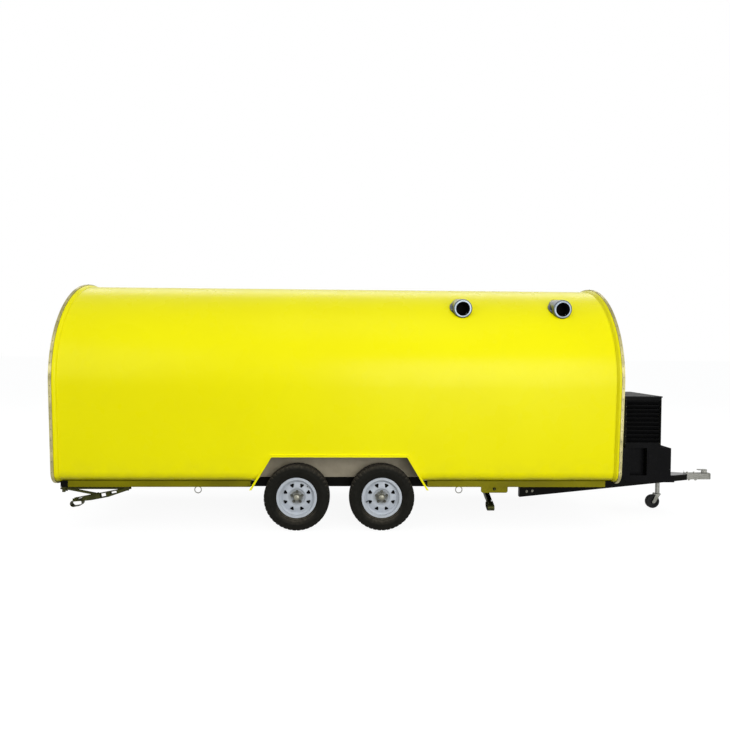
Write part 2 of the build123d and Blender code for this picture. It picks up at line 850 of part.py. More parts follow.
def jockey_tube_set():
    """Outer tube in the drawbar's cross plate, with a clamp collar and a crank on top."""
    x, top = jockey_x, jockey_tube_top
    grip_y, grip_z = crank_arm - jockey_pin, top + crank_rise - crank_plate / 2
    tube = pipe((x, 0, jockey_tube_low), (x, 0, top), jockey_tube, jockey_tube - jockey_wall)
    tube += pipe((x, 0, tie_top), (x, 0, tie_top + jockey_collar_height), jockey_collar, jockey_tube - 1)
    tube += bar((x, 0, top), (x, 0, top + crank_cap), jockey_tube)
    tube += bar((x, 0, top), (x, 0, top + crank_rise), jockey_pin)
    tube += block(x - crank_half, x + crank_half, -jockey_pin, crank_arm,
                  top + crank_rise - crank_plate, top + crank_rise)
    return tube + bar((x, grip_y, grip_z), (x, grip_y, grip_z + crank_grip), jockey_pin)


def jockey_stem():
    """Inner tube that slides in the outer one."""
    x = jockey_x
    outer = jockey_tube - jockey_wall - fit
    top = jockey_tube_top - jockey_travel - jockey_stop
    return pipe((x, 0, fork_top), (x, 0, top), outer, outer - jockey_wall)


def jockey_fork():
    """Crown on the stem's spigot and two raked legs with the wheel's pin."""
    x = jockey_x
    xw = x - jockey_trail
    spigot = jockey_tube - 2 * jockey_wall - 2 * fit
    y = jockey_wheel_width / 2 + fork_clear
    rear, front, low = x - fork_back, x + fork_front, jockey_wheel_radius - fork_end
    fork = block(rear, front, -y - fork_plate, y + fork_plate, fork_top - fork_plate, fork_top)
    fork += bar((x, 0, fork_top - fork_plate), (x, 0, fork_top + 2 * jockey_tube), spigot)
    for s in (-1, 1):
        y0, y1 = sorted((s * y, s * (y + fork_plate)))
        fork += sideways([(rear, fork_top), (front, fork_top), (xw + fork_end, low), (xw - fork_end, low)],
                         y0, y1)
    reach = y + fork_plate + jockey_pin_end
    return fork + bar((xw, -reach, jockey_wheel_radius), (xw, reach, jockey_wheel_radius), jockey_pin)


def jockey_wheel():
    """Solid wheel with rounded shoulders and a bored hub."""
    x = jockey_x - jockey_trail
    half = jockey_wheel_width / 2
    z = jockey_wheel_radius
    wheel = bar((x, -half, z), (x, half, z), jockey_wheel_radius)
    wheel = fillet(wheel.edges().filter_by(GeomType.CIRCLE), jockey_shoulder)
    for s in (-1, 1):
        y0, y1 = sorted((s * (half - jockey_recess), s * half))
        wheel -= pipe((x, y0, z), (x, y1, z), jockey_wheel_radius - jockey_rim, jockey_pin + jockey_boss)
    hub_half = half + fork_clear - jockey_hub_play
    wheel += bar((x, -hub_half, z), (x, hub_half, z), jockey_pin + jockey_hub_wall)
    return wheel - bar((x, -hub_half - 1, z), (x, hub_half + 1, z), jockey_pin + fit)


# Generator case


def lid_axis():
    """X and Z of the hinge behind the generator lid."""
    return (case_rear - lid_overhang - lid_knuckle_radius - 1,
            case_top + seat_gap + lid_thickness / 2)


def generator_case():
    """Sheet case with tilted louvres in both long sides and the fixed knuckles of its lid."""
    x0, x1 = case_rear, case_front
    case = block(x0, x1, -case_half, case_half, case_bottom, case_top)
    case -= block(x0 + case_wall, x1 - case_wall, case_wall - case_half, case_half - case_wall,
                  case_bottom + case_wall, case_top + 1)
    left, right = x0 + case_side_frame, x1 - case_side_frame
    low, high = case_bottom + case_end_frame, case_top - case_end_frame
    lean = louvre_width / 2 * math.sin(math.radians(louvre_tilt))
    for side in sides.values():
        y0, y1 = sorted((side * (case_half - case_wall), side * (case_half + 1)))
        case -= block(left, right, y0, y1, low, high)
        for i in range(louvre_count):
            z = low + (high - low) * (i + 0.5) / louvre_count
            slat = Rotation(-side * louvre_tilt, 0, 0) * Box(right - left + 2, louvre_thickness, louvre_width)
            case += Location(((x0 + x1) / 2, side * (case_half - lean - louvre_thickness), z)) * slat
    x, z = lid_axis()
    half = knuckle_length / 3
    for y in lid_hinge_ys:
        case += bar((x, y - 2 * half, z), (x, y + 2 * half, z), pin_radius)
        for s in (-1, 1):
            y0, y1 = sorted((y + s * (half + strap_gap), y + s * 2 * half))
            case += bar((x, y0, z), (x, y1, z), lid_knuckle_radius)
            case += block(x - lid_knuckle_radius, x + pin_radius, y0, y1, case_top - knuckle_length / 2, z)
            case += block(x, x0, y0, y1, case_top - knuckle_length / 2, case_top - panel_gap)
    return case


def generator_lid():
    """Flat lid with knuckles along its rear edge."""
    x0, x1 = case_rear - lid_overhang, case_front + lid_overhang
    half = case_half + lid_overhang
    z0 = case_top + seat_gap
    lid = block(x0, x1, -half, half, z0, z0 + lid_thickness)
    lid = fillet(lid.edges().filter_by(Axis.Z), lid_overhang)
    x, z = lid_axis()
    half = knuckle_length / 3
    for y in lid_hinge_ys:
        lid += bar((x, y - half, z), (x, y + half, z), lid_knuckle_radius)
        lid += block(x, x0 + 1, y - half, y + half, z - pin_radius, z + pin_radius)
        lid -= bar((x, y - 2 * half, z), (x, y + 2 * half, z), pin_radius + fit)
    return lid


def generator_block():
    """The engine and alternator as one plain mass on the case's floor."""
    x0, x1 = case_rear, case_front
    inset = case_wall * 3
    depth = louvre_width + case_wall
    return block(x0 + inset, x1 - inset, depth - case_half, case_half - depth, case_bottom + case_wall,
                 case_top - block_headroom)


def generator_stand():
    """Two cabinets over the drawbar joined by a recessed panel, with skirts, which carry the case."""
    x0, x1 = front_x + stand_rear_rear, front_x + stand_rear_front
    x2, x3 = front_x + stand_front_rear, front_x + stand_front_front
    inner = case_half - stand_recess
    stand = block(x0, x1, -case_half, case_half, nose_top, stand_top)
    stand += block(x2, x3, -case_half, case_half, nose_top, stand_top)
    stand += block(x1, x2, -inner, inner, nose_top, stand_top)
    stand += block(case_rear, case_front, -case_half, case_half, stand_top, case_bottom)
    for side in sides.values():
        y0, y1 = sorted((side * (case_half - skirt_thickness), side * case_half))
        stand += block(x1 - skirt_lead, x3 + skirt_lead, y0, y1, skirt_bottom, rail_bottom + skirt_lap)
    return stand - drawbar_arms()


# Door, hatch and shelf


door_hinge = (rear_x - hinge_stand, door_width / 2)
door_hinge_heights = (door_sill + door_hinge_inset, (door_sill + door_top) / 2, door_top - door_hinge_inset)
hatch_hinge_xs = [hatch_x[0] + hatch_length * share for share in hatch_hinge_shares]


def rear_wall():
    """Rear end wall with its bead and the doorway cut through."""
    end = body_solid(0, rear_x, rear_x + wall) + end_bead(rear_x, 1)
    return end - door_solid(0, rear_x - 1, rear_x + wall + 1)


def door():
    """Door leaf as thick as the wall, with its hinge knuckles on straps."""
    leaf = door_solid(panel_gap, rear_x, rear_x + wall)
    x, y = door_hinge
    half = knuckle_length / 2
    for z in door_hinge_heights:
        leaf += block(rear_x - strap_thickness, rear_x, y - strap_reach, y - strap_gap, z - half, z + half)
        leaf += bar((x, y, z - half), (x, y, z + half), knuckle_radius)
        leaf -= bar((x, y, z - knuckle_length), (x, y, z + knuckle_length), pin_radius + fit)
    return leaf


def door_hinges():
    """Fixed knuckles with their pins, on straps beside the doorway."""
    pieces = []
    x, y = door_hinge
    half = knuckle_length / 2
    for z in door_hinge_heights:
        piece = bar((x, y, z - knuckle_length), (x, y, z + knuckle_length), pin_radius)
        for s in (-1, 1):
            z0, z1 = sorted((z + s * (half + strap_gap), z + s * knuckle_length))
            piece += bar((x, y, z0), (x, y, z1), knuckle_radius)
            piece += block(rear_x - strap_thickness, rear_x, y + strap_gap, y + strap_reach, z0, z1)
        pieces.append(piece)
    return pieces


def door_handle():
    """Pull handle on two feet near the door's free edge."""
    y = handle_inset - door_width / 2
    z = (door_sill + door_top) / 2 - handle_length / 2
    x = rear_x - handle_reach + handle_radius
    grip = bar((x, y, z - handle_length / 2), (x, y, z + handle_length / 2), handle_radius)
    for s in (-1, 1):
        foot = z + s * (handle_length / 2 - 2 * handle_radius)
        grip += bar((x, y, foot), (rear_x, y, foot), handle_radius)
    return grip


def hatch():
    """Curved hatch leaf cut from the left side, with its hinge knuckles and strut studs."""
    skin = band(wall, 0, rear_x + wall, front_x - wall)
    straps = band(0, -strap_thickness, rear_x + wall, front_x - wall)
    leaf = skin & hatch_block(panel_gap)
    y, z = hatch_hinge
    for x in hatch_hinge_xs:
        half = knuckle_length / 2
        leaf += straps & block(x - half, x + half, y - strap_reach, y + 2 * strap_reach,
                               hatch_head - strap_reach, hatch_head - strap_gap)
        leaf += block(x - half, x + half, y - pin_radius, y + pin_radius, hatch_head - knuckle_radius, z)
        leaf += bar((x - half, y, z), (x + half, y, z), knuckle_radius)
        leaf -= bar((x - knuckle_length, y, z), (x + knuckle_length, y, z), pin_radius + fit)
    eye_y, eye_z = strut_eye()
    for s, x in strut_planes():
        near = x - s * (rod_radius + seat_gap)
        low, high = sorted((near, near - s * stud_width))
        leaf += (block(low, high, eye_y - stud_width, shell_radius, eye_z - stud_width, eye_z + stud_width)
                 & body_solid(wall, rear_x, front_x))
    return leaf


def hatch_hinges():
    """Fixed knuckles with their pins, on straps above the hatch."""
    pieces = []
    y, z = hatch_hinge
    straps = band(0, -strap_thickness, rear_x + wall, front_x - wall)
    half = knuckle_length / 2
    for x in hatch_hinge_xs:
        piece = bar((x - knuckle_length, y, z), (x + knuckle_length, y, z), pin_radius)
        for s in (-1, 1):
            x0, x1 = sorted((x + s * (half + strap_gap), x + s * knuckle_length))
            piece += bar((x0, y, z), (x1, y, z), knuckle_radius)
            piece += straps & block(x0, x1, y - 2 * strap_reach, y + strap_reach,
                                    hatch_head + strap_gap, hatch_head + strap_reach)
        pieces.append(piece)
    return pieces


def strut_planes():
    """Side of the hatch, as a sign along X, and X of each gas strut."""
    return [(-1, hatch_x[0] + strut_inset), (1, hatch_x[1] - strut_inset)]


def strut_eye():
    """Y and Z of the rods' eyes at rest."""
    radius = shell_radius - wall - strut_eye_depth
    angle = math.radians(strut_eye_angle)
    return radius * math.cos(angle), roof_axis_height + radius * math.sin(angle)


def strut_foot():
    """Y and Z of the barrels' pivots beside the hatch."""
    height = roof_axis_height - strut_foot_drop
    return side_at(height, wall) - strut_foot_depth, height


def strut_line(x):
    """Ends of one gas strut at rest, and its direction from the foot to the eye."""
    foot, eye = Vector(x, *strut_foot()), Vector(x, *strut_eye())
    return foot, eye, (eye - foot).normalized()


def strut_feet():
    """Brackets on the inside of the left wall with the barrels' pivot pins."""
    y, z = strut_foot()
    pieces = []
    for s, x in strut_planes():
        x0, x1 = sorted((x + s * (strut_inset + stud_width), x + s * (strut_inset + 3 * stud_width)))
        foot = block(x0, x1, y - stud_width, shell_radius, z - stud_width, z + stud_width)
        foot &= body_solid(wall, rear_x, front_x)
        ends = sorted((x - s * barrel_radius, x + s * (strut_inset + 2 * stud_width)))
        pieces.append(foot + bar((ends[0], y, z), (ends[1], y, z), pin_radius))
    return pieces


def strut_barrels():
    """Gas strut barrels, bored for the rods, with an eye on each pivot pin."""
    pieces = []
    for _, x in strut_planes():
        foot, eye, way = strut_line(x)
        length = (eye - foot).length - strut_show
        barrel = bar(tuple(foot), tuple(foot + way * length), barrel_radius)
        barrel += bar((x - barrel_radius, foot.Y, foot.Z), (x + barrel_radius, foot.Y, foot.Z), barrel_radius)
        barrel -= bar(tuple(foot + way * 2 * barrel_radius), tuple(eye), rod_radius + fit)
        barrel -= bar((x - 2 * barrel_radius, foot.Y, foot.Z), (x + 2 * barrel_radius, foot.Y, foot.Z),
                      pin_radius + fit)
        pieces.append(barrel)
    return pieces


def strut_rods():
    """Rods that slide in the barrels, with a flat eye at the hatch."""
    pieces = []
    for _, x in strut_planes():
        foot, eye, way = strut_line(x)
        rod = bar(tuple(foot + way * 3 * barrel_radius), tuple(eye), rod_radius)
        rod += bar((x - rod_radius, eye.Y, eye.Z), (x + rod_radius, eye.Y, eye.Z), 2 * rod_radius)
        pieces.append(rod)
    return pieces


shelf_z = hatch_sill - shelf_drop
shelf_y = side_at(shelf_z, 0) + shelf_stand
shelf_hinge_xs = [hatch_x[0] + hatch_length * share for share in shelf_hinge_shares]
shelf_x = (hatch_x[0] + shelf_inset, hatch_x[1] - shelf_inset)


def shelf():
    """Serving shelf, hanging folded against the side, with a rolled hinge edge notched for the brackets."""
    half = shelf_thickness / 2
    board = block(shelf_x[0], shelf_x[1], shelf_y - half, shelf_y + half, shelf_z - shelf_depth, shelf_z)
    board += bar((shelf_x[0], shelf_y, shelf_z), (shelf_x[1], shelf_y, shelf_z), half)
    notch = knuckle_length / 2 + panel_gap
    for x in shelf_hinge_xs:
        board -= block(x - notch, x + notch, shelf_y - shelf_stand, shelf_y + shelf_stand,
                       shelf_z - shelf_stand, shelf_z + shelf_stand)
        board -= bar((x - knuckle_length, shelf_y, shelf_z), (x + knuckle_length, shelf_y, shelf_z),
                     pin_radius + fit)
    return board


def shelf_brackets():
    """Fixed hinge brackets of the shelf with their pins."""
    pieces = []
    half = knuckle_length / 2
    skin = body_solid(0, rear_x, front_x)
    for x in shelf_hinge_xs:
        piece = block(x - half, x + half, shelf_y - 2 * shelf_stand, shelf_y, shelf_z - knuckle_radius,
                      shelf_z + knuckle_radius) - skin
        piece += bar((x - half, shelf_y, shelf_z), (x + half, shelf_y, shelf_z), knuckle_radius)
        reach = knuckle_length - 1
        piece += bar((x - reach, shelf_y, shelf_z), (x + reach, shelf_y, shelf_z), pin_radius)
        pieces.append(piece)
    return pieces


# Small fittings


def tie_rings():
    """Wire rings welded under the rails."""
    pieces = []
    y = rail_outside - rail_width / 2
    for x in ring_xs:
        upright = Plane(origin=(x, y, rail_bottom - ring_radius), z_dir=(0, 1, 0))
        ring = upright * Torus(ring_radius, ring_wire)
        ring -= block(x - ring_radius, x + ring_radius, y - rail_width, y + rail_width,
                      rail_bottom, sill_height)
        pieces += both_sides(ring)
    return pieces


def tail_lamps():
    """Pair of lamps low on the rear wall."""
    lamp = block(rear_x - lamp_depth, rear_x, lamp_offset - lamp_width / 2, lamp_offset + lamp_width / 2,
                 lamp_bottom, lamp_bottom + lamp_height)
    edges = lamp.edges().filter_by(Axis.X)
    return both_sides(fillet(edges, lamp_height / 4))


# Writing the nodes


def write_body():
    """Shell, walls, floor and what is fixed to them."""
    for side, half in shell_halves().items():
        save(f"shell_{side}", half)
    save("floor_board", floor_board())
    save("front_wall", body_solid(0, front_x - wall, front_x) + end_bead(front_x, -1))
    save("rear_wall", rear_wall())
    save("edge_trims", [band(0, -trim_proud, x, x + trim_width) for x in (rear_x, front_x - trim_width)])
    save("wheel_boxes", [wheel_box(sign) for sign in sides.values()])
    save("arch_lips", [arch_lip(sign) for sign in sides.values()])
    save("roof_vents", [vent(x) for x in vent_xs])
    save("tail_lamps", tail_lamps())
    save("door", door())
    save("panel_hinges", door_hinges() + hatch_hinges() + shelf_brackets())
    save("door_handle", door_handle())
    save("hatch", hatch())
    save("strut_feet", strut_feet())
    save("strut_barrels", strut_barrels())
    save("strut_rods", strut_rods())
    save("shelf", shelf())


def write_chassis():
    """Rails, beams, running gear and drawbar."""
    save("side_rails", rails())
    save("steady_plates", steady_plates())
    save("main_beams", beams())
    save("cross_members", cross_members())
    save("tie_rings", tie_rings())
    save("drawbar", drawbar())
    save("coupler", coupler())
    save("coupler_latch", coupler_latch())
    save("axles", axles())
    save("axle_arms", axle_arms())
    save("brake_plates", brake_plates())
    for end, x in axle_xs.items():
        for side, sign in sides.items():
            save(f"tyre_{end}_{side}", tyre(x, sign))
            save(f"rim_{end}_{side}", rim(x, sign))
            save(f"hub_{end}_{side}", hub(x, sign))


def write_stands():
    """Corner steadies, jockey wheel and the generator on the drawbar."""
    save("steady_bases", [placed(steady_base(), pivot, heading) for _, pivot, heading, _ in steady_spots()])
    for name, pivot, heading, angle in steady_spots():
        save(f"steady_leg_{name}", placed(steady_leg(angle), pivot, heading))
        save(f"steady_strut_{name}", placed(steady_strut(angle), pivot, heading))
    save("jockey_tube", jockey_tube_set())
    save("jockey_stem", jockey_stem())
    save("jockey_fork", jockey_fork())
    save("jockey_wheel", jockey_wheel())
    save("generator_case", generator_case())
    save("generator_lid", generator_lid())
    save("generator_block", generator_block())
    save("generator_stand", generator_stand())


os.makedirs("parts", exist_ok=True)
write_body()
write_chassis()
write_stands()
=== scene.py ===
from math import cos, pi, radians, sin, sqrt

import bmesh
import bpy
from mathutils import Matrix, Vector


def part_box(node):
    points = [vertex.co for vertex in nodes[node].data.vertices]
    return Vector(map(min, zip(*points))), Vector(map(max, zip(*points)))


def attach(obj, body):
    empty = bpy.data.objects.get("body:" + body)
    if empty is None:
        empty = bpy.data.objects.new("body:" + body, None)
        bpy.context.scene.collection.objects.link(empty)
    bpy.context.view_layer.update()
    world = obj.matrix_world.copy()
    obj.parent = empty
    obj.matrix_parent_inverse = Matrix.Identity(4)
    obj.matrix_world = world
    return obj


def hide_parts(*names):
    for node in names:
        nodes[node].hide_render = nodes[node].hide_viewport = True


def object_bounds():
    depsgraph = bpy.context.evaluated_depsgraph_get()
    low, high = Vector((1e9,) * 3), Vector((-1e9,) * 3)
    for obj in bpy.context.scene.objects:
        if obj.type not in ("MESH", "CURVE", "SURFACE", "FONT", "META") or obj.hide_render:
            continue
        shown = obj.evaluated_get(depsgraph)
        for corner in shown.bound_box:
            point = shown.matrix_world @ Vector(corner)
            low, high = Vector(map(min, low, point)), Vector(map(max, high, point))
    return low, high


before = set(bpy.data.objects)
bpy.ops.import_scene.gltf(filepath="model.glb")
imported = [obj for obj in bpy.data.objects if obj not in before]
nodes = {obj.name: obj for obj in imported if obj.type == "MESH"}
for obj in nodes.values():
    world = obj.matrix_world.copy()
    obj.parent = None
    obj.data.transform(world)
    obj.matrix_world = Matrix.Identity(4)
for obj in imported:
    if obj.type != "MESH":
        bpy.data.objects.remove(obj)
cad_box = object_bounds()

# Sizes shared with the solids, in metres; stations count from the body's middle
shell_radius = 1.022
side_taper = radians(2.8)
sill_radius = 0.110
wall = 0.040
trim_proud = 0.028
trim_width = 0.030
bead_foot = 0.058
wheel_face = 0.024
disc_thickness = 0.006
disc_back = 0.010
hub_bore = 0.034
vent_stations = (1.277, 2.339)
vent_angle = radians(49.4)
vent_stand = 0.125
vent_droop = radians(5)
vent_bore = 0.068
vent_flange_thickness = 0.014
case_half = 0.392
cabinets = ((3.150, 3.270), (3.464, 3.742))
steady_link = 0.315
steady_base_end = 0.652
steady_ear = 0.037
steady_drop = 0.020
steady_stations = (-2.180, 1.605)
steady_angles = (radians(11), radians(20))
leg_half = 0.025
beam_mid = 0.630
nose_half = 0.052
nose_inset = 0.010
door_width = 0.700
door_corner = 0.060
door_hinge_inset = 0.220
panel_gap = 0.006
strap = 0.007
hatch_span = (-1.150, 1.450)
hatch_head_angle = radians(40)
lamp_width = 0.190

front_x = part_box("front_wall")[1].x
rear_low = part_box("rear_wall")[0]
rear_x, sill = rear_low.x, rear_low.z
roof_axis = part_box("shell_right")[1].z - shell_radius
sill_turn = sill + sill_radius
side_run = (roof_axis - sill_turn) * sin(side_taper)
sill_flat = (shell_radius - sill_radius - side_run) / cos(side_taper)
sill_end = radians(62)
sill_axis, body_axis = Vector((0, sill_flat, sill_turn)), Vector((0, 0, roof_axis))
body_mid = (rear_x + front_x) / 2
tyre_boxes = {end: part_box(f"tyre_{end}_left") for end in ("rear", "front")}
wheel_xs = {end: (low.x + high.x) / 2 for end, (low, high) in tyre_boxes.items()}
wheel_y = sum(corner.y for corner in tyre_boxes["rear"]) / 2
wheel_z = sum(corner.z for corner in tyre_boxes["rear"]) / 2

# Camera, fitted to the photograph's perspective, and its focal length in pixels of the image
image_size = 730
focal_pixels = 619.66
sensor_width = 36
view_depth = 300
camera_place = Vector((body_mid + 0.0465, -7.2756, sill + 1.3561))
camera_yaw = 0.0315
camera_pitch = -0.0246
camera_roll = 0.0073


# Node trees


class Nodes:
    """The node tree of a material or world under construction."""

    def __init__(self, owner):
        owner.use_nodes = True
        self.tree = owner.node_tree
        self.tree.nodes.clear()

    def add(self, kind, inputs={}, **settings):
        """New node with its properties set, and its inputs set or linked by their names or numbers."""
        node = self.tree.nodes.new(kind)
        for key, value in settings.items():
            setattr(node, key, value)
        for key, value in inputs.items():
            self.join(value, node.inputs[key])
        return node

    def join(self, source, target):
        """Links an output, or sets a plain value."""
        if isinstance(source, bpy.types.NodeSocket):
            self.tree.links.new(source, target)
        else:
            target.default_value = source

    def math(self, operation, *values):
        """Arithmetic on factors."""
        return self.add("ShaderNodeMath", dict(enumerate(values)), operation=operation).outputs[0]


class Look(Nodes):
    """A material under construction: its node tree and its surface shader."""

    def __init__(self, name):
        self.material = bpy.data.materials.new(name)
        super().__init__(self.material)
        self.shader = self.add("ShaderNodeBsdfPrincipled")
        self.add("ShaderNodeOutputMaterial", {"Surface": self.shader.outputs["BSDF"]})

    def set(self, **values):
        """Sets or links sockets of the surface shader."""
        for key, value in values.items():
            name = key.replace("_", " ").title().replace("Ior", "IOR")
            self.join(value, self.shader.inputs[name])

    def place(self, stretch=(1, 1, 1)):
        """The surface point in the piece's own frame, stretched along its axes."""
        source = self.add("ShaderNodeTexCoord").outputs["Object"]
        if stretch == (1, 1, 1):
            return source
        return self.add("ShaderNodeMapping", {"Vector": source, "Scale": stretch}).outputs["Vector"]

    def noise(self, scale, detail=3, roughness=0.5, stretch=(1, 1, 1)):
        """Cloudy factor from 0 to 1, with scale in features per metre."""
        inputs = {"Vector": self.place(stretch), "Scale": scale, "Detail": detail, "Roughness": roughness}
        return self.add("ShaderNodeTexNoise", inputs).outputs["Fac"]

    def cells(self, scale, output="Color"):
        """Patches of even value, with scale in patches per metre."""
        return self.add("ShaderNodeTexVoronoi", {"Vector": self.place(), "Scale": scale}).outputs[output]

    def spread(self, factor, low, high, start=0.0, end=1.0):
        """Maps a factor from one span to another, held at the ends."""
        inputs = {"Value": factor, "From Min": low, "From Max": high, "To Min": start, "To Max": end}
        return self.add("ShaderNodeMapRange", inputs, clamp=True).outputs["Result"]

    def vary(self, scale, detail, start, end, low=0.3, high=0.7, stretch=(1, 1, 1)):
        """Cloudy value from start to end, over a span of the noise."""
        return self.spread(self.noise(scale, detail, stretch=stretch), low, high, start, end)

    def blend(self, factor, first, second):
        """Mixes two colours by a factor."""
        first, second = (value if isinstance(value, bpy.types.NodeSocket) else (*value, 1)
                         for value in (first, second))
        return self.add("ShaderNodeMix", {"Factor": factor, 6: first, 7: second}, data_type="RGBA").outputs[2]

    def part(self, vector, name):
        """One coordinate of a vector."""
        return self.add("ShaderNodeSeparateXYZ", {0: vector}).outputs[name]

    def axis(self, name):
        """One coordinate of the surface point, in metres."""
        return self.part(self.place(), name)

    def facing_up(self):
        """1 on faces that look up, 0 on upright and lower ones."""
        normal = self.add("ShaderNodeNewGeometry").outputs["Normal"]
        return self.spread(self.part(normal, "Z"), 0.2, 0.95)

    def over(self, first, second):
        """How far one factor lies above another, or 0."""
        return self.math("MAXIMUM", self.math("SUBTRACT", first, second), 0.0)

    def apart(self, first, second):
        """How far two factors lie apart."""
        return self.math("ABSOLUTE", self.math("SUBTRACT", first, second))

    def distance(self, across, up):
        """Straight distance from its two parts."""
        squares = [self.math("MULTIPLY", value, value) for value in (across, up)]
        return self.math("SQRT", self.math("ADD", *squares))

    def relief(self, *layers, edge=0.0):
        """Bump layers of (height factor, depth in metres) over edges rounded by a small radius."""
        normal = {}
        if edge:
            rounded = self.add("ShaderNodeBevel", {"Radius": edge}, samples=6)
            normal = {"Normal": rounded.outputs["Normal"]}
        for height, depth in layers:
            inputs = {"Strength": 1.0, "Distance": depth, "Height": height, **normal}
            bump = self.add("ShaderNodeBump", inputs)
            normal = {"Normal": bump.outputs["Normal"]}
        self.set(normal=normal["Normal"])


# Looks

lemon, deep_lemon = (0.885, 0.825, 0.001), (0.860, 0.790, 0.001)
# Lemon dust and scuffs; the third colour is painted shade beside the front end's bead
lemon_dust, lemon_scuff, lemon_joint_shade = (0.52, 0.47, 0.03), (0.50, 0.45, 0.02), (0.42, 0.37, 0.001)
# Dark olive painted shade for the rails and the sill's lower curve, which lie in the body's shade
sill_shade_olive = (0.108, 0.093, 0.001)
cabin_lining = (0.74, 0.75, 0.75)
# Wheel colours; the third is painted shade round the hub, where the nuts' shadows fall
wheel_white, wheel_cloud, wheel_hub_shade = (0.46, 0.495, 0.54), (0.33, 0.335, 0.33), (0.085, 0.085, 0.065)
# Near blacks inboard of the wheel disc and on the drums: brake dust and painted shade behind the wheel
# windows
brake_dust_and_shade, drum_blacks = (0.012, 0.011, 0.010), ((0.006, 0.006, 0.007), (0.020, 0.012, 0.008))
box_greys = ((0.275, 0.240, 0.168), (0.16, 0.137, 0.092))
black_dust, tyre_dust = (0.10, 0.092, 0.078), (0.12, 0.105, 0.08)
board_brown, board_stain = (0.115, 0.095, 0.075), (0.07, 0.06, 0.052)
paint_shine, body_shine = 0.09, 0.11
lining_depth = wall * 0.6
# The rails' cover of painted shade is nearly whole
rail_shade_cover = (4, 5, 0.84, 0.99, 0.25, 0.75, (0.4, 1, 1))


def shaded(colour, share):
    """A colour made darker or lighter by a share."""
    return tuple(value * share for value in colour)


def inside_mask(look):
    """1 on the faces that line the cabin, 0 on the outer skin."""
    x, y, z = look.axis("X"), look.math("ABSOLUTE", look.axis("Y")), look.axis("Z")
    leaning = look.math("MULTIPLY", look.over(roof_axis, z), sin(side_taper))
    reach = look.math("ADD", look.distance(y, look.over(z, roof_axis)), leaning)
    bend = sill_radius - lining_depth
    below = look.over(sill_turn, z)
    room = look.over(bend * bend, look.math("MULTIPLY", below, below))
    corner = look.math("LESS_THAN", y, look.math("ADD", look.math("SQRT", room), sill_flat))
    mask = look.math("MAXIMUM", corner, look.math("GREATER_THAN", z, sill_turn))
    for operation, value, limit in (
        ("LESS_THAN", reach, shell_radius - lining_depth),
        ("GREATER_THAN", z, sill + wall * 0.5),
        ("GREATER_THAN", x, rear_x + lining_depth),
        ("LESS_THAN", x, front_x - lining_depth),
    ):
        mask = look.math("MULTIPLY", mask, look.math(operation, value, limit))
    return mask


def lemon_coat(look):
    """Lemon paint that drifts a little from patch to patch."""
    return look.blend(look.spread(look.noise(0.9, 2), 0.35, 0.7), lemon, deep_lemon)


def gloss_finish(look, roughness, shine=paint_shine):
    """Even gloss of the body's paint over faintly wavy sheet."""
    look.set(roughness=roughness, specular_ior_level=shine)
    waves = look.noise(1.7, 1, stretch=(0.6, 1, 1.4))
    peel = look.noise(260, 2)
    look.relief((waves, 0.0018), (peel, 0.00004), edge=0.003)


def body_paint():
    """Glossy lemon paint with dust low down, painted shade along the sills and beside the front end's bead,
    and a pale lining inside.
    """
    look = Look("body_paint")
    height = look.axis("Z")
    low = look.spread(height, sill - 0.02, sill + 0.27, 1.0, 0.0)
    soiled = look.math("MULTIPLY", low, look.vary(7, 4, 0.0, 0.32, 0.35, 0.8))
    colour = look.blend(soiled, lemon_coat(look), lemon_dust)
    # Painted shade along the sill's lower curve, darkest at its bottom edge
    edge = look.math("ADD", height, look.vary(5, 4, -0.008, 0.008))
    colour = look.blend(look.spread(edge, sill + 0.002, sill + 0.054, 0.68, 0.0), colour, sill_shade_olive)
    # Painted shade in a soft band beside the bead of the front end, where the corner turns away from the
    # light
    joint = look.apart(look.axis("X"), front_x - bead_foot)
    colour = look.blend(look.spread(joint, 0.004, 0.030, 0.5, 0.0), colour, lemon_joint_shade)
    inner = inside_mask(look)
    look.set(base_color=look.blend(inner, colour, cabin_lining))
    gloss = look.vary(3, 3, 0.24, 0.32)
    gloss_finish(look, look.math("ADD", gloss, look.math("MULTIPLY", inner, 0.2)), body_shine)
    return look.material


def dirt_and_shade_paint(name, cover, cover_colour, gloss):
    """The body's paint under a cover of a darker colour, scuffs on the lips and painted shade on the rails;
    cover and gloss are arguments of vary.
    """
    look = Look(name)
    look.set(base_color=look.blend(look.vary(*cover), lemon_coat(look), cover_colour))
    gloss_finish(look, look.vary(*gloss))
    return look.material


def wheel_paint():
    """Bluish white wheel paint with a painted shade ring round the hub, and near black inboard of the disc
    from brake dust and painted shade.
    """
    look = Look("wheel_white")
    rear, front = (look.apart(look.axis("X"), x) for x in wheel_xs.values())
    aside = look.math("MINIMUM", rear, front)
    radius = look.distance(aside, look.math("SUBTRACT", look.axis("Z"), wheel_z))
    cloud = look.vary(12, 5, 0.0, 0.35, 0.42, 0.78)
    colour = look.blend(cloud, wheel_white, wheel_cloud)
    # Painted shade in a blotchy dark ring round the hub, standing in for the nuts' shadows
    blots = look.vary(45, 4, 0.55, 1.0, 0.3, 0.6)
    hub_shade = look.math("MULTIPLY", look.spread(radius, 0.056, 0.086, 0.95, 0.0), blots)
    colour = look.blend(hub_shade, colour, wheel_hub_shade)
    # Inboard of the disc the barrel is near black, brake dust and painted shade seen through the windows
    inboard = look.math("LESS_THAN", look.math("ABSOLUTE", look.axis("Y")), wheel_y + disc_back)
    look.set(base_color=look.blend(inboard, colour, brake_dust_and_shade))
    gloss = look.vary(20, 3, 0.26, 0.42)
    look.set(roughness=look.math("ADD", gloss, look.math("MULTIPLY", inboard, 0.4)), specular_ior_level=0.25)
    look.relief((look.noise(320, 2), 0.0001), edge=0.002)
    return look.material


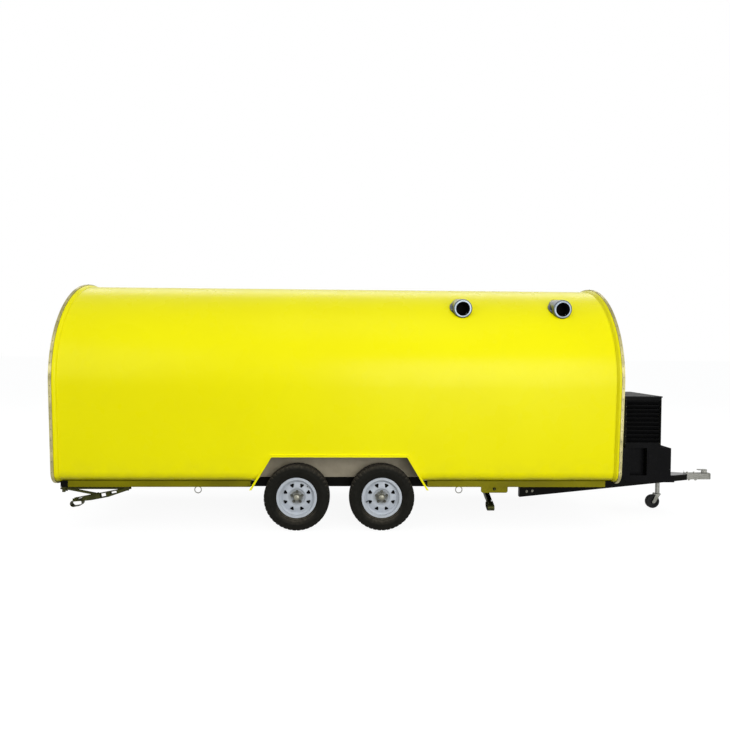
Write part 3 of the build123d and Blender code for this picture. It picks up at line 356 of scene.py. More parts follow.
def brushed(name, colour, roughness, stretch, worn=0.12):
    """Bare metal with fine lines drawn along one way and a few dull patches."""
    look = Look(name)
    lines = look.noise(420, 2, 0.6, stretch)
    dull = look.noise(9, 4)
    worn_colour = shaded(colour, 1 - worn * 2)
    look.set(base_color=look.blend(look.spread(dull, 0.35, 0.75), colour, worn_colour), metallic=1.0)
    grain = look.spread(lines, 0.25, 0.75, roughness - 0.06, roughness + 0.08)
    look.set(roughness=look.math("ADD", grain, look.spread(dull, 0.4, 0.8, 0.0, worn)))
    look.relief((lines, 0.00006), edge=0.0015)
    return look.material


def zinc(name, colour, tarnish, roughness=0.42):
    """Zinc coating with a crystal pattern and dull stains."""
    look = Look(name)
    flake = look.add("ShaderNodeRGBToBW", {0: look.cells(90)}).outputs[0]
    bright = look.blend(look.spread(flake, 0.1, 0.9), shaded(colour, 0.78), colour)
    stain = look.vary(14, 5, 0.0, 0.8, 0.45, 0.75)
    look.set(base_color=look.blend(stain, bright, tarnish), metallic=0.85)
    look.set(roughness=look.spread(flake, 0.0, 1.0, roughness - 0.08, roughness + 0.12))
    look.relief((look.noise(160, 3), 0.00015), edge=0.0015)
    return look.material


def black_paint(name, colour, roughness, specular, dust_share, top_roughness=None, top_specular=None,
                grain=0.00008):
    """Black paint with a fine grain, soft edges and dust on top, where roughness and specular may differ."""
    look = Look(name)
    tone = look.blend(look.noise(5, 4), colour, shaded(colour, 1.7))
    top = look.facing_up()
    settle = look.math("MULTIPLY", top, look.vary(11, 5, 0.0, dust_share, 0.35, 0.75))
    look.set(base_color=look.blend(settle, tone, black_dust))
    gloss = look.vary(16, 3, roughness - 0.05, roughness + 0.08)
    if top_roughness is not None:
        gloss = look.math("ADD", gloss, look.math("MULTIPLY", top, top_roughness - roughness))
    if top_specular is not None:
        specular = look.spread(top, 0.0, 1.0, specular, top_specular)
    look.set(roughness=gloss, specular_ior_level=specular)
    look.relief((look.noise(700, 2), grain), edge=0.003)
    return look.material


def clouded(name, cover, colours, gloss, grain, **settings):
    """Two colours mixed by a cover over a grain of (scale, detail, depth); cover and gloss as in vary."""
    look = Look(name)
    look.set(base_color=look.blend(look.vary(*cover), *colours), roughness=look.vary(*gloss), **settings)
    look.relief((look.noise(*grain[:2]), grain[2]), edge=0.002)
    return look.material


def rubber(name, colour, roughness, dust_share=0.0):
    """Matte rubber with a fine grain and a grey bloom, and road dust on top where it has a share."""
    look = Look(name)
    bloom = look.vary(18, 5, 0.0, 0.35, 0.4, 0.8)
    shade = look.blend(bloom, colour, shaded(colour, 2.1))
    if dust_share:
        settle = look.math("MULTIPLY", look.facing_up(), look.vary(35, 4, 0.3, dust_share))
        shade = look.blend(settle, shade, tyre_dust)
    look.set(base_color=shade, specular_ior_level=0.12)
    look.set(roughness=look.vary(30, 3, roughness - 0.06, roughness + 0.08))
    look.relief((look.noise(500, 3), 0.0002))
    return look.material


def sealed_board():
    """Dark sealed floor with a raised grip pattern."""
    look = Look("floor_board")
    grip = look.cells(55, "Distance")
    stain = look.spread(look.noise(6, 4), 0.4, 0.75)
    look.set(base_color=look.blend(stain, board_brown, board_stain))
    look.set(roughness=look.vary(24, 4, 0.5, 0.72))
    look.relief((grip, 0.0008), (look.noise(140, 4), 0.0003))
    return look.material


def lens(name, colour):
    """Clear coloured lens with moulded ribs."""
    look = Look(name)
    wave = look.add("ShaderNodeTexWave", {"Vector": look.place(), "Scale": 45}, bands_direction="Y")
    ribs = wave.outputs["Fac"]
    look.set(base_color=look.blend(ribs, shaded(colour, 0.55), colour))
    look.set(roughness=look.vary(40, 2, 0.1, 0.18), coat_weight=0.6, coat_roughness=0.04)
    look.relief((ribs, 0.0006), edge=0.002)
    return look.material


looks = {
    "body": body_paint(),
    "lip": dirt_and_shade_paint("lip_paint", (22, 5, 0.0, 0.35, 0.55, 0.8), lemon_scuff, (9, 3, 0.26, 0.36)),
    # Rails and steady plates: the body's paint under painted shade, as under the sills
    "rail": dirt_and_shade_paint("rail_paint", rail_shade_cover, sill_shade_olive, (14, 4, 0.42, 0.6)),
    # Trim metal tinted yellow: a painted reflection of the yellow body
    "trim": brushed("trim_metal", (0.44, 0.40, 0.19), 0.42, (0.05, 1, 1), 0.22),
    "stainless": brushed("stainless", (0.34, 0.345, 0.35), 0.28, (0.04, 1, 1), 0.08),
    # Vent steel kept dark and bluish: a painted reflection of a dim, bluish surround
    "vent": brushed("vent_steel", (0.125, 0.145, 0.165), 0.22, (1, 0.06, 0.06), 0.15),
    "steel": brushed("bright_steel", (0.46, 0.455, 0.42), 0.28, (1, 1, 0.1), 0.15),
    "dull": brushed("dull_steel", (0.24, 0.235, 0.19), 0.40, (1, 1, 0.1), 0.2),
    "nut": brushed("nut_steel", (0.085, 0.085, 0.070), 0.34, (1, 1, 0.1), 0.2),
    "galvanised": zinc("galvanised", (0.275, 0.275, 0.25), (0.145, 0.145, 0.12)),
    # Steadies' zinc: olive passivation tint, darkened as painted shade for their place under the body
    "passivated_shaded": zinc("passivated_shaded", (0.042, 0.044, 0.009), (0.018, 0.019, 0.004), 0.5),
    "frame": black_paint("frame_paint", (0.0024, 0.0024, 0.0017), 0.34, 0.035, 0.06, 0.10, 0.22),
    "case": black_paint("case_paint", (0.0040, 0.0040, 0.0043), 0.24, 0.04, 0.03, 0.95),
    "lid": black_paint("lid_paint", (0.0026, 0.0028, 0.0034), 0.50, 0.09, 0.20),
    "white": wheel_paint(),
    "grey": clouded("box_grey", (12, 5, 0.0, 0.5, 0.42, 0.78), box_greys, (20, 3, 0.55, 0.7),
                    (320, 2, 0.0001)),
    "tyre": rubber("tyre_rubber", (0.0050, 0.0048, 0.0032), 0.76, 0.9),
    "rubber": rubber("soft_rubber", (0.012, 0.012, 0.012), 0.6),
    "plastic": black_paint("black_plastic", (0.012, 0.012, 0.013), 0.45, 0.4, 0.1, grain=0.0002),
    # Drums and dust shields near black: painted shade for the dark behind the wheel windows
    "hub": clouded("hub_cast", (26, 6, 0.0, 0.5, 0.55, 0.8), drum_blacks, (60, 4, 0.65, 0.85),
                   (220, 4, 0.0004), specular_ior_level=0.04),
    "board": sealed_board(),
    "red": lens("lamp_red", (0.62, 0.012, 0.010)),
    "soot_and_shade": rubber("soot_and_shade", (0.0016, 0.0016, 0.0016), 0.9),
    "rivet": brushed("dull_rivet", (0.16, 0.15, 0.09), 0.5, (1, 1, 1)),
    "amber": lens("lamp_amber", (0.85, 0.26, 0.010)),
}

# Starts of the names of the carried-over nodes that have each look; the first match counts
node_looks = {
    "plastic": ("door_handle", "strut_barrels"),
    "body": ("shell_", "front_wall", "rear_wall", "door", "hatch"),
    "lip": ("arch_lips",), "rail": ("side_rails", "steady_plates"), "trim": ("edge_trims",),
    "stainless": ("shelf", "panel_hinges"),
    "frame": ("main_beams", "cross_members", "drawbar", "axles", "axle_arms", "brake_plates"),
    "lid": ("generator_lid",), "case": ("generator_",), "vent": ("roof_vents",), "steel": ("strut_rods",),
    "rubber": ("jockey_wheel",), "galvanised": ("strut_feet", "coupler", "jockey_", "tie_rings"),
    "passivated_shaded": ("steady_",), "board": ("floor_board",), "grey": ("wheel_boxes",), "white": ("rim_",),
    "hub": ("hub_",), "tyre": ("tyre_",), "red": ("tail_lamps",),
}


def dress_nodes():
    """Gives every carried-over node its look."""
    for name, item in nodes.items():
        look = next(look for look, starts in node_looks.items() if name.startswith(starts))
        item.data.materials.clear()
        item.data.materials.append(looks[look])


# Shapes; a profile is a list of (radius, height) pairs


def facing(point, way):
    """Frame with its origin at a point and its Z along a way."""
    return Matrix.Translation(point) @ Vector(way).to_track_quat("Z", "Y").to_matrix().to_4x4()


def lathe(mesh, profile, place, segments, shape=None):
    """Turned surface of a profile about the Z of place; shape may change a point by its angle."""
    rings = []
    for step in range(segments):
        angle = 2 * pi * step / segments
        ring = []
        for index, (radius, height) in enumerate(profile):
            if shape:
                radius, height = shape(index, step, radius, height)
            point = Vector((radius * cos(angle), radius * sin(angle), height))
            ring.append(mesh.verts.new(place @ point))
        rings.append(ring)
    for step in range(segments):
        one, two = rings[step], rings[(step + 1) % segments]
        for index in range(len(profile) - 1):
            mesh.faces.new((one[index], two[index], two[index + 1], one[index + 1]))


def skin(mesh, rings, closed=False):
    """Faces between rings of points, with both ends capped unless the run is closed."""
    for one, two in zip(rings, rings[1:] + (rings[:1] if closed else [])):
        for k in range(len(one)):
            n = (k + 1) % len(one)
            mesh.faces.new((one[k], one[n], two[n], two[k]))
    if not closed:
        mesh.faces.new(list(reversed(rings[0])))
        mesh.faces.new(rings[-1])


def prism(mesh, outline, place, depth):
    """Plate with an outline in the XY of place, as thick as depth along its Z."""
    skin(mesh, [[mesh.verts.new(place @ Vector((x, y, z))) for x, y in outline] for z in (0, depth)])


def rounded(width, height, radius, steps=6):
    """Corner points of a rectangle about the origin with round corners."""
    points = []
    for sx, sy, start in ((1, 1, 0), (-1, 1, 90), (-1, -1, 180), (1, -1, 270)):
        for i in range(steps + 1):
            angle = radians(start + 90 * i / steps)
            points.append((sx * (width / 2 - radius) + radius * cos(angle),
                           sy * (height / 2 - radius) + radius * sin(angle)))
    return points


def tube(mesh, points, radius, segments=12, closed=False):
    """Round tube along a line of points."""
    rings = []
    count = len(points)
    points = [Vector(p) for p in points]
    side = None
    for i, point in enumerate(points):
        before = points[(i - 1) % count] if closed or i else point
        after = points[(i + 1) % count] if closed or i < count - 1 else point
        way = (after - before).normalized()
        if side is None:
            side = way.orthogonal().normalized()
        side = (side - way * side.dot(way)).normalized()
        other = way.cross(side)
        ring = []
        for k in range(segments):
            angle = 2 * pi * k / segments
            ring.append(mesh.verts.new(point + radius * (cos(angle) * side + sin(angle) * other)))
        rings.append(ring)
    skin(mesh, rings, closed)


def ribbon(mesh, path, x0, x1, thickness):
    """Flat strip along a path of points and ways, from one X to another."""
    corners = ((x0, 0), (x0, thickness), (x1, thickness), (x1, 0))
    skin(mesh, [[mesh.verts.new(point + way * lift + Vector((x, 0, 0))) for x, lift in corners]
                for point, way in path])


def new_object(name, data):
    """Object in the scene, with its data."""
    item = bpy.data.objects.new(name, data)
    bpy.context.scene.collection.objects.link(item)
    return item


def mesh_object(name, mesh, material):
    """Object made of a mesh under construction."""
    data = bpy.data.meshes.new(name)
    mesh.to_mesh(data)
    mesh.free()
    data.materials.append(material)
    return new_object(name, data)


def finish(mesh, name, look, smooth=35, body="trailer"):
    """Turns a mesh under construction into a named piece that rides on a body."""
    bmesh.ops.remove_doubles(mesh, verts=mesh.verts, dist=1e-6)
    bmesh.ops.recalc_face_normals(mesh, faces=mesh.faces)
    item = mesh_object(name, mesh, looks[look])
    data = item.data
    for face in data.polygons:
        face.use_smooth = True
    data.set_sharp_from_angle(angle=radians(smooth))
    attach(item, body)
    return item


# Fastenings; a bolt is (width across flats, height), a rivet is (radius, height)

washer_thickness = 0.002
trim_rivet, vent_rivet, hinge_rivet = (0.0055, 0.0024), (0.0055, 0.003), (0.005, 0.0024)
case_rivet, lid_rivet, hatch_rivet = (0.0032, 0.0016), (0.0034, 0.0016), (0.004, 0.0018)
arch_rivet, lamp_rivet = (0.0040, 0.0018), (0.004, 0.002)


def hexagon(across):
    """Radius of a six-sided head's corners."""
    return across / 2 / cos(radians(30))


def dome(mesh, place, radius, height, segments=14, steps=5):
    """Round rivet head with a flat foot."""
    profile = [(radius, 0.0)]
    for i in range(1, steps + 1):
        angle = pi / 2 * i / steps
        profile.append((max(radius * cos(angle), radius * 0.02), height * sin(angle)))
    lathe(mesh, profile, place, segments)


def hex_nut(mesh, place, across, height, stud):
    """Six-sided nut with a turned top and the end of its stud."""
    outer = hexagon(across)
    lathe(mesh, [(outer, 0), (outer, height * 0.8), (outer * 0.86, height), (stud, height)], place, 6)
    top = height * 1.3
    end = [(stud, height * 0.9), (stud, top), (stud * 0.8, top * 1.04), (stud * 0.05, top * 1.04)]
    lathe(mesh, end, place, 14)


def bolts(mesh, places, way, across, height):
    """Hexagon heads on round washers at several points, all facing one way."""
    outer, top, foot = hexagon(across), washer_thickness + height, washer_thickness
    for point in places:
        spot = facing(point, way)
        lathe(mesh, [(across * 0.95, 0), (across * 0.95, foot), (across * 0.5, foot)], spot, 16)
        lathe(mesh, [(outer, foot), (outer, top * 0.86), (outer * 0.84, top), (outer * 0.04, top)], spot, 6)


def bolt_pair(mesh, place, point, size):
    """Bolts at a point and its mirror image in the frame of place, both facing out."""
    x, y, z = point
    for side in (-1, 1):
        bolts(mesh, [place @ Vector((x, side * y, z))], place.to_3x3() @ Vector((0, side, 0)), *size)


def rivets(mesh, points, way, size):
    """Round heads at several points, all facing one way."""
    for point in points:
        dome(mesh, facing(point, way), *size)


def rivet_line(mesh, path, x, lift, size):
    """Round heads along a path of points and ways, at an X and lifted off it."""
    for point, way in path:
        dome(mesh, facing(point + way * lift + Vector((x, 0, 0)), way), *size)


def spaced(first, last, gap):
    """Even stations between two values, about a gap apart."""
    count = max(1, round(abs(last - first) / gap))
    return [first + (last - first) * i / count for i in range(count + 1)]


def spoke(angle):
    """Way square to the body's length, at an angle up from the left."""
    return Vector((0, cos(angle), sin(angle)))


def roof_path(end, radius, gap):
    """Points and outward ways round the roof, from the top of the left side to an angle."""
    angles = spaced(-side_taper, end, gap / radius)[1:]
    return [(body_axis + spoke(angle) * radius, spoke(angle)) for angle in angles]


def section_path(offset, gap):
    """Points and outward ways along the body's outline, both sides and the roof."""
    radius, turn, flat = shell_radius + offset, sill_radius + offset, spoke(-side_taper)
    angles = spaced(sill_end, side_taper, gap / turn)
    path = [(sill_axis + spoke(-angle) * turn, spoke(-angle)) for angle in angles]
    low, high = path[-1][0], body_axis + flat * radius
    path += [(low.lerp(high, share), flat) for share in spaced(0, 1, gap / (high - low).length)[1:]]
    path += roof_path(pi / 2, radius, gap)
    mirror = Vector((1, -1, 1))
    return path + [(point * mirror, way * mirror) for point, way in reversed(path[:-1])]


def left_path(start_z, end_angle, gap):
    """Points and outward ways along the left side, from a height up to an angle of the roof."""
    path, flat = [], spoke(-side_taper)
    for z in spaced(start_z, roof_axis + flat.z * shell_radius, gap):
        y = (shell_radius - (roof_axis - z) * sin(side_taper)) / cos(side_taper)
        path.append((Vector((0, y, z)), flat))
    return path + roof_path(end_angle, shell_radius, gap)


# Wheels; profiles turn about the wheel's axis

valve_angles = {"rear": radians(46), "front": radians(196)}
tyre_segments, block_pitch = 220, 5
tread_half, crown_drop = 0.0800, 0.003
groove_lines, groove_half, groove_foot, groove_depth = (0.050, 0.0168), 0.0045, 0.0027, 0.0085
shoulder_cut, block_cut = 0.006, 0.003
tyre_wall = [(0.189, 0.0695), (0.209, 0.0695), (0.214, 0.0740), (0.222, 0.0805), (0.226, 0.0845),
             (0.231, 0.0845), (0.235, 0.0885), (0.252, 0.0968), (0.270, 0.1014), (0.274, 0.1026),
             (0.279, 0.1026), (0.283, 0.1014), (0.297, 0.0997), (0.308, 0.0972)]
# Shoulder of the tyre, as (depth under the tread, height)
tyre_shoulder = [(0.022, 0.0940), (0.012, 0.0890), (0.006, 0.0835)]
nut_count, nut_circle, nut_size = 5, 0.057, (0.021, 0.014, 0.006)
nut_seat = [(0.0150, 0), (0.0150, 0.002), (0.0100, 0.005)]
cap_rim, cap_wall = hub_bore + 0.004, hub_bore + 0.0005
grease_cap = [(cap_rim, 0), (cap_rim, 0.003), (cap_wall, 0.005), (cap_wall, 0.027), (0.0325, 0.033),
              (0.0260, 0.0385), (0.0140, 0.0415), (0.0008, 0.0425)]
valve_line, valve_radius = [(0.150, 0.030), (0.156, 0.046), (0.160, 0.066)], 0.0042
valve_cap = [(0.0055, 0), (0.0055, 0.011), (0.004, 0.0135), (0.0004, 0.0135)]
valve_cap_line = ((0.159, 0.060), (0.161, 0.070))
shield_inset = 0.010
shield_ring = [(0.137, 0.001), (0.152, 0.001), (0.158, 0.004), (0.168, 0.004), (0.173, 0.008), (0.174, 0.008),
               (0.1695, 0.0025), (0.159, 0.0025), (0.153, -0.0005), (0.137, -0.0005), (0.137, 0.001)]


def dressed_tyre(radius, place):
    """Road tyre with ribbed tread blocks, cut shoulders and moulded rings on its walls."""
    walls = tyre_wall + [(radius - depth, height) for depth, height in tyre_shoulder]
    ribs = []
    for line in groove_lines:
        upper, lower = (radius - crown_drop * ((line + rise) / tread_half) ** 2
                        for rise in (groove_half, -groove_half))
        ribs += [(upper, line + groove_half), (upper - groove_depth, line + groove_foot),
                 (lower - groove_depth, line - groove_foot), (lower, line - groove_half)]
    half = walls + [(radius - crown_drop, tread_half)] + ribs
    profile = half + [(r, -h) for r, h in reversed(half)]
    shoulder = range(len(walls) - len(tyre_shoulder), len(walls) + 1)
    blocks = (len(half) - 5, len(half) - 1)
    last = len(profile) - 1

    def tread(index, step, r, h):
        folded = min(index, last - index)
        phase = step % block_pitch
        if folded in shoulder and phase == (0 if index == folded else 2):
            return r - shoulder_cut, h
        if folded in blocks and phase == 3:
            return r - block_cut, h
        return r, h

    mesh = bmesh.new()
    lathe(mesh, profile, place, tyre_segments, tread)
    return mesh


def wheel_hardware(end, side, sign):
    """Tread, nuts, grease cap and valve of one wheel."""
    node, wheel, body = f"tyre_{end}_{side}", f"{end}_{side}", f"wheel_{end}_{side}"
    low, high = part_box(node)
    place = facing((low + high) / 2, (0, sign, 0))
    mesh = dressed_tyre((high.z - low.z) / 2, place)
    tyre = finish(mesh, f"tread_{wheel}", "tyre", 28, body=body)
    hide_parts(node)
    face = place @ Matrix.Translation((0, 0, wheel_face + disc_thickness))
    mesh = bmesh.new()
    for i in range(nut_count):
        angle = 2 * pi * i / nut_count + pi / 2
        spot = face @ Matrix.Translation((nut_circle * cos(angle), nut_circle * sin(angle), 0))
        hex_nut(mesh, spot, *nut_size)
        lathe(mesh, nut_seat, spot, 18)
    finish(mesh, f"wheel_nuts_{wheel}", "nut", body=body)
    mesh = bmesh.new()
    lathe(mesh, grease_cap, face, 36)
    finish(mesh, f"grease_cap_{wheel}", "dull", 50, body=body)
    mesh = bmesh.new()
    turned = place @ Matrix.Rotation(valve_angles[end], 4, "Z")
    tube(mesh, [turned @ Vector((r, 0, h)) for r, h in valve_line], valve_radius, 10)
    foot, tip = (turned @ Vector((r, 0, h)) for r, h in valve_cap_line)
    lathe(mesh, valve_cap, facing(foot, tip - foot), 12)
    finish(mesh, f"valve_{wheel}", "rubber", body=body)


def dust_shields():
    """Pressed dust shield round each brake plate, which closes the gap between the drum and the rim; being
    near black, it puts painted shade behind the rim's windows.
    """
    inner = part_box("brake_plates")[1].y - shield_inset
    mesh = bmesh.new()
    for x in wheel_xs.values():
        for sign in (-1, 1):
            lathe(mesh, shield_ring, facing((x, sign * inner, wheel_z), (0, sign, 0)), 48)
    finish(mesh, "dust_shields", "hub", 40)


# Body trim and roof

trim_rivet_gap = 0.115
vent_screw_count, vent_screw_circle = 8, 0.111
# Near-black liner deep in each vent and round its mouth: soot and painted shade of the bore
vent_liner = [(vent_bore + 0.0065, 0.0003), (vent_bore + 0.0055, 0.0012), (vent_bore - 0.0006, 0.0008),
              (vent_bore - 0.0012, -0.1385), (0.030, -0.1385), (0.028, -0.134), (0.0006, -0.134)]


def trim_rivets():
    """Row of rivets along both edge trims."""
    for name, x in (("rear", rear_x + trim_width / 2), ("front", front_x - trim_width / 2)):
        mesh = bmesh.new()
        rivet_line(mesh, section_path(trim_proud, trim_rivet_gap), x, 0, trim_rivet)
        finish(mesh, f"trim_rivets_{name}", "rivet", 50)


def vent_fittings():
    """Dark liner, back plate and flange screws of each roof vent."""
    out = spoke(pi + vent_droop)
    flange = shell_radius + vent_flange_thickness
    for name, station in zip(("rear", "front"), vent_stations):
        axis = body_axis + Vector((body_mid + station, 0, 0))
        root = axis + spoke(pi - vent_angle) * shell_radius
        mesh = bmesh.new()
        lathe(mesh, vent_liner, facing(root + out * (vent_stand / cos(vent_droop)), out), 40)
        finish(mesh, f"vent_liner_{name}", "soot_and_shade", 60)
        mesh = bmesh.new()
        for i in range(vent_screw_count):
            angle = 2 * pi * (i + 0.5) / vent_screw_count
            way = spoke(pi - vent_angle - vent_screw_circle * sin(angle) / flange)
            aside = Vector((vent_screw_circle * cos(angle), 0, 0))
            rivets(mesh, [axis + aside + way * flange], way, vent_rivet)
        finish(mesh, f"vent_screws_{name}", "steel", 50)


# Chassis, drawbar, jockey wheel and corner steadies

axle_root, axle_flange = 0.100, 0.006
axle_bolt, axle_bolt_x, axle_bolt_y = (0.019, 0.010), 0.060, 0.018
plate_bolt, plate_bolt_half = (0.014, 0.007), 0.086 * sqrt(0.5)
drawbar_bolt, drawbar_bolt_runs, drawbar_bolt_rise = (0.015, 0.008), (0.083, 0.150), 0.052
weld_radius, weld_rise, weld_run, weld_gap = 0.0036, 0.054, (0.002, 0.228), 0.006
weld_proud, weld_ripple, weld_pitch = 0.001, 0.001, 900
coupler_bolt, coupler_bolt_runs, coupler_bolt_half = (0.019, 0.012), (0.030, 0.110), 0.038
latch_bolt, latch_pin_setback, latch_pin_half, latch_pin_rise = (0.013, 0.006), 0.027, 0.01467, 0.017
grip_reach, grip_drop = 0.102, 0.032
crank_grip = [(0.0095, 0.0), (0.0125, 0.003), (0.0125, 0.012), (0.0115, 0.016), (0.0125, 0.020),
              (0.0125, 0.028), (0.0100, 0.0325), (0.0006, 0.0335)]
collar_rise = 0.058
clamp_screw, clamp_screw_radius = (-0.036, -0.074), 0.006
# Bar of the clamp, as (sideways, up)
clamp_bar, clamp_bar_radius = ((-0.070, -0.034), (-0.071, 0.0), (-0.070, 0.034)), 0.0055
jockey_nut, jockey_nut_inset = (0.019, 0.008), 0.004
steady_inset, front_steady_inset = 0.030, 0.016
pivot_bolt, knee_bolt = (0.016, 0.008), (0.014, 0.003)
drive_collar = [(0.015, 0), (0.015, 0.003), (0.011, 0.003)]
drive_hexagon = [(0.0112, 0.003), (0.0112, 0.0255), (0.0100, 0.0270), (0.0004, 0.0270)]


def chassis_bolts():
    """Bolts of the axle brackets, brake plates and drawbar, and the welds of its nose."""
    mesh = bmesh.new()
    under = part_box("axles")[1].z - axle_flange
    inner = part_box("brake_plates")[1].y - shield_inset
    for x in wheel_xs.values():
        spots = [(x + axle_root + i * axle_bolt_x, side * beam_mid + j * axle_bolt_y, under)
                 for i in (-1, 1) for j in (-1, 1) for side in (-1, 1)]
        bolts(mesh, spots, (0, 0, -1), *axle_bolt)
        for side in (-1, 1):
            hub = Vector((x, side * inner, wheel_z))
            ring = [hub + plate_bolt_half * Vector((i, 0, j)) for i in (-1, 1) for j in (-1, 1)]
            bolts(mesh, ring, (0, -side, 0), *plate_bolt)
    finish(mesh, "axle_bolts", "galvanised")
    mesh = bmesh.new()
    low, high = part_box("drawbar")
    nose = high.x - nose_inset
    slope = (high.y - nose_half) / (nose - low.x)
    way = Vector((slope, 1, 0)).normalized()
    for side in (-1, 1):
        spots = [(low.x + d, side * (high.y - d * slope), low.z + drawbar_bolt_rise)
                 for d in drawbar_bolt_runs]
        bolts(mesh, spots, (way.x, side * way.y, 0), *drawbar_bolt)
    finish(mesh, "drawbar_bolts", "dull")
    mesh = bmesh.new()
    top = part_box("coupler")[0].z + weld_rise
    for side in (-1, 1):
        seam = [(nose - d, side * (nose_half + d * slope + weld_proud),
                 top + weld_ripple * sin(d * weld_pitch)) for d in spaced(*weld_run, weld_gap)]
        tube(mesh, seam, weld_radius, 8)
    finish(mesh, "nose_welds", "frame", 60)


def coupler_fittings():
    """Bolts through the coupling, and the pin of its latch."""
    low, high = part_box("coupler")
    mesh = bmesh.new()
    spots = [(low.x + d, side * coupler_bolt_half, low.z) for d in coupler_bolt_runs for side in (-1, 1)]
    bolts(mesh, spots, (0, 0, -1), *coupler_bolt)
    bolts(mesh, [(low.x + d, 0, high.z) for d in coupler_bolt_runs], (0, 0, 1), *coupler_bolt)
    latch_low, latch_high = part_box("coupler_latch")
    pin = (latch_high.x - latch_pin_setback, latch_pin_half, latch_low.z + latch_pin_rise)
    bolt_pair(mesh, Matrix(), pin, latch_bolt)
    finish(mesh, "coupler_bolts", "steel")


def jockey_fittings():
    """Grip on the crank, clamp screw, and nuts on the wheel's pin."""
    low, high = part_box("jockey_tube")
    x = (low.x + high.x) / 2
    mesh = bmesh.new()
    lathe(mesh, crank_grip, facing((x, grip_reach, high.z - grip_drop), (0, 0, 1)), 20)
    finish(mesh, "crank_grip", "plastic", 50)
    mesh = bmesh.new()
    collar = low.z + collar_rise
    tube(mesh, [(x, y, collar) for y in clamp_screw], clamp_screw_radius)
    tube(mesh, [(x, y, collar + rise) for y, rise in clamp_bar], clamp_bar_radius)
    finish(mesh, "jockey_clamp", "galvanised", 50)
    nut_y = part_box("jockey_fork")[1].y - jockey_nut_inset
    low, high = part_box("jockey_wheel")
    middle = (low + high) / 2
    mesh = bmesh.new()
    bolt_pair(mesh, Matrix(), (middle.x, nut_y, middle.z), jockey_nut)
    finish(mesh, "jockey_nuts", "galvanised", body="jockey_fork")


def steady_fittings():
    """Pivot bolts, knee pins and the hexagon drive of each corner steady."""
    low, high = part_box("side_rails")
    line = low.z - steady_drop
    reaches = (high.y - steady_inset, high.y - front_steady_inset - steady_base_end)
    for end, station, angle, reach in zip(("rear", "front"), steady_stations, steady_angles, reaches):
        knee = (steady_link * cos(angle), leg_half, -steady_link * sin(angle))
        for word, sign in (("right", -1), ("left", 1)):
            name = f"{end}_{word}"
            heading = pi if end == "rear" else sign * pi / 2
            pivot = Matrix.Translation((body_mid + station, sign * reach, line))
            place = pivot @ Matrix.Rotation(heading, 4, "Z")
            mesh = bmesh.new()
            bolt_pair(mesh, place, (0, steady_ear, 0), pivot_bolt)
            drive = facing(place @ Vector((steady_base_end, 0, 0)), place.to_3x3() @ Vector((1, 0, 0)))
            lathe(mesh, drive_collar, drive, 18)
            lathe(mesh, drive_hexagon, drive, 6)
            finish(mesh, f"steady_bolts_{name}", "passivated_shaded")
            mesh = bmesh.new()
            bolt_pair(mesh, place, knee, knee_bolt)
            finish(mesh, f"steady_knee_{name}", "passivated_shaded", body=f"steady_leg_{name}")


# Generator

stand_rise, stand_drop = 0.060, 0.031
panel_side, panel_foot, panel_head = 0.015, 0.070, 0.016
panel_corner, panel_thickness = 0.012, 0.0018
lid_lap = 0.0153
case_edges, case_edge_end, case_side_gap = (0.006, 0.404), 0.020, 0.085
case_front_end, case_front_gap = 0.014, 0.125
lid_sink, lid_edge, lid_ends, lid_gap = 0.001, 0.018, (0.020, 0.050), 0.120


def generator_fittings():
    """Panels and rivets of the cabinets, case and lid."""
    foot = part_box("drawbar")[0].z + stand_rise + panel_foot
    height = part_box("generator_case")[0].z - stand_drop - panel_head - foot
    mesh = bmesh.new()
    for start, end in cabinets:
        outline = rounded(end - start - panel_side * 2, height, panel_corner)
        for side in (-1, 1):
            spot = Vector((body_mid + (start + end) / 2, side * case_half, foot + height / 2))
            place = Matrix.Translation(spot) @ Matrix.Rotation(side * -pi / 2, 4, "X")
            prism(mesh, outline, place, panel_thickness)
    finish(mesh, "cabinet_panels", "case")
    low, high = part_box("generator_case")
    mesh = bmesh.new()
    top = high.z - lid_lap
    heights = spaced(low.z + case_edge_end, top - case_edge_end, case_side_gap)
    for side in (-1, 1):
        for inset in case_edges:
            spots = [(high.x - inset, side * case_half, z) for z in heights]
            rivets(mesh, spots, (0, side, 0), case_rivet)
    for y in spaced(case_edge_end - case_half, case_half - case_edge_end, case_front_gap):
        spots = [(high.x, y, z) for z in (low.z + case_front_end, top - case_front_end)]
        rivets(mesh, spots, (1, 0, 0), case_rivet)
    finish(mesh, "case_rivets", "rivet", 50)
    low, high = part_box("generator_lid")
    mesh = bmesh.new()
    stations = spaced(high.x - lid_ends[0], low.x + lid_ends[1], lid_gap)
    for side in (-1, 1):
        spots = [(x, side * (high.y - lid_edge), high.z - lid_sink) for x in stations]
        rivets(mesh, spots, (0, 0, 1), lid_rivet)
    finish(mesh, "lid_rivets", "rivet", 50, body="generator_lid")


# Door, hatch, lamps and arches

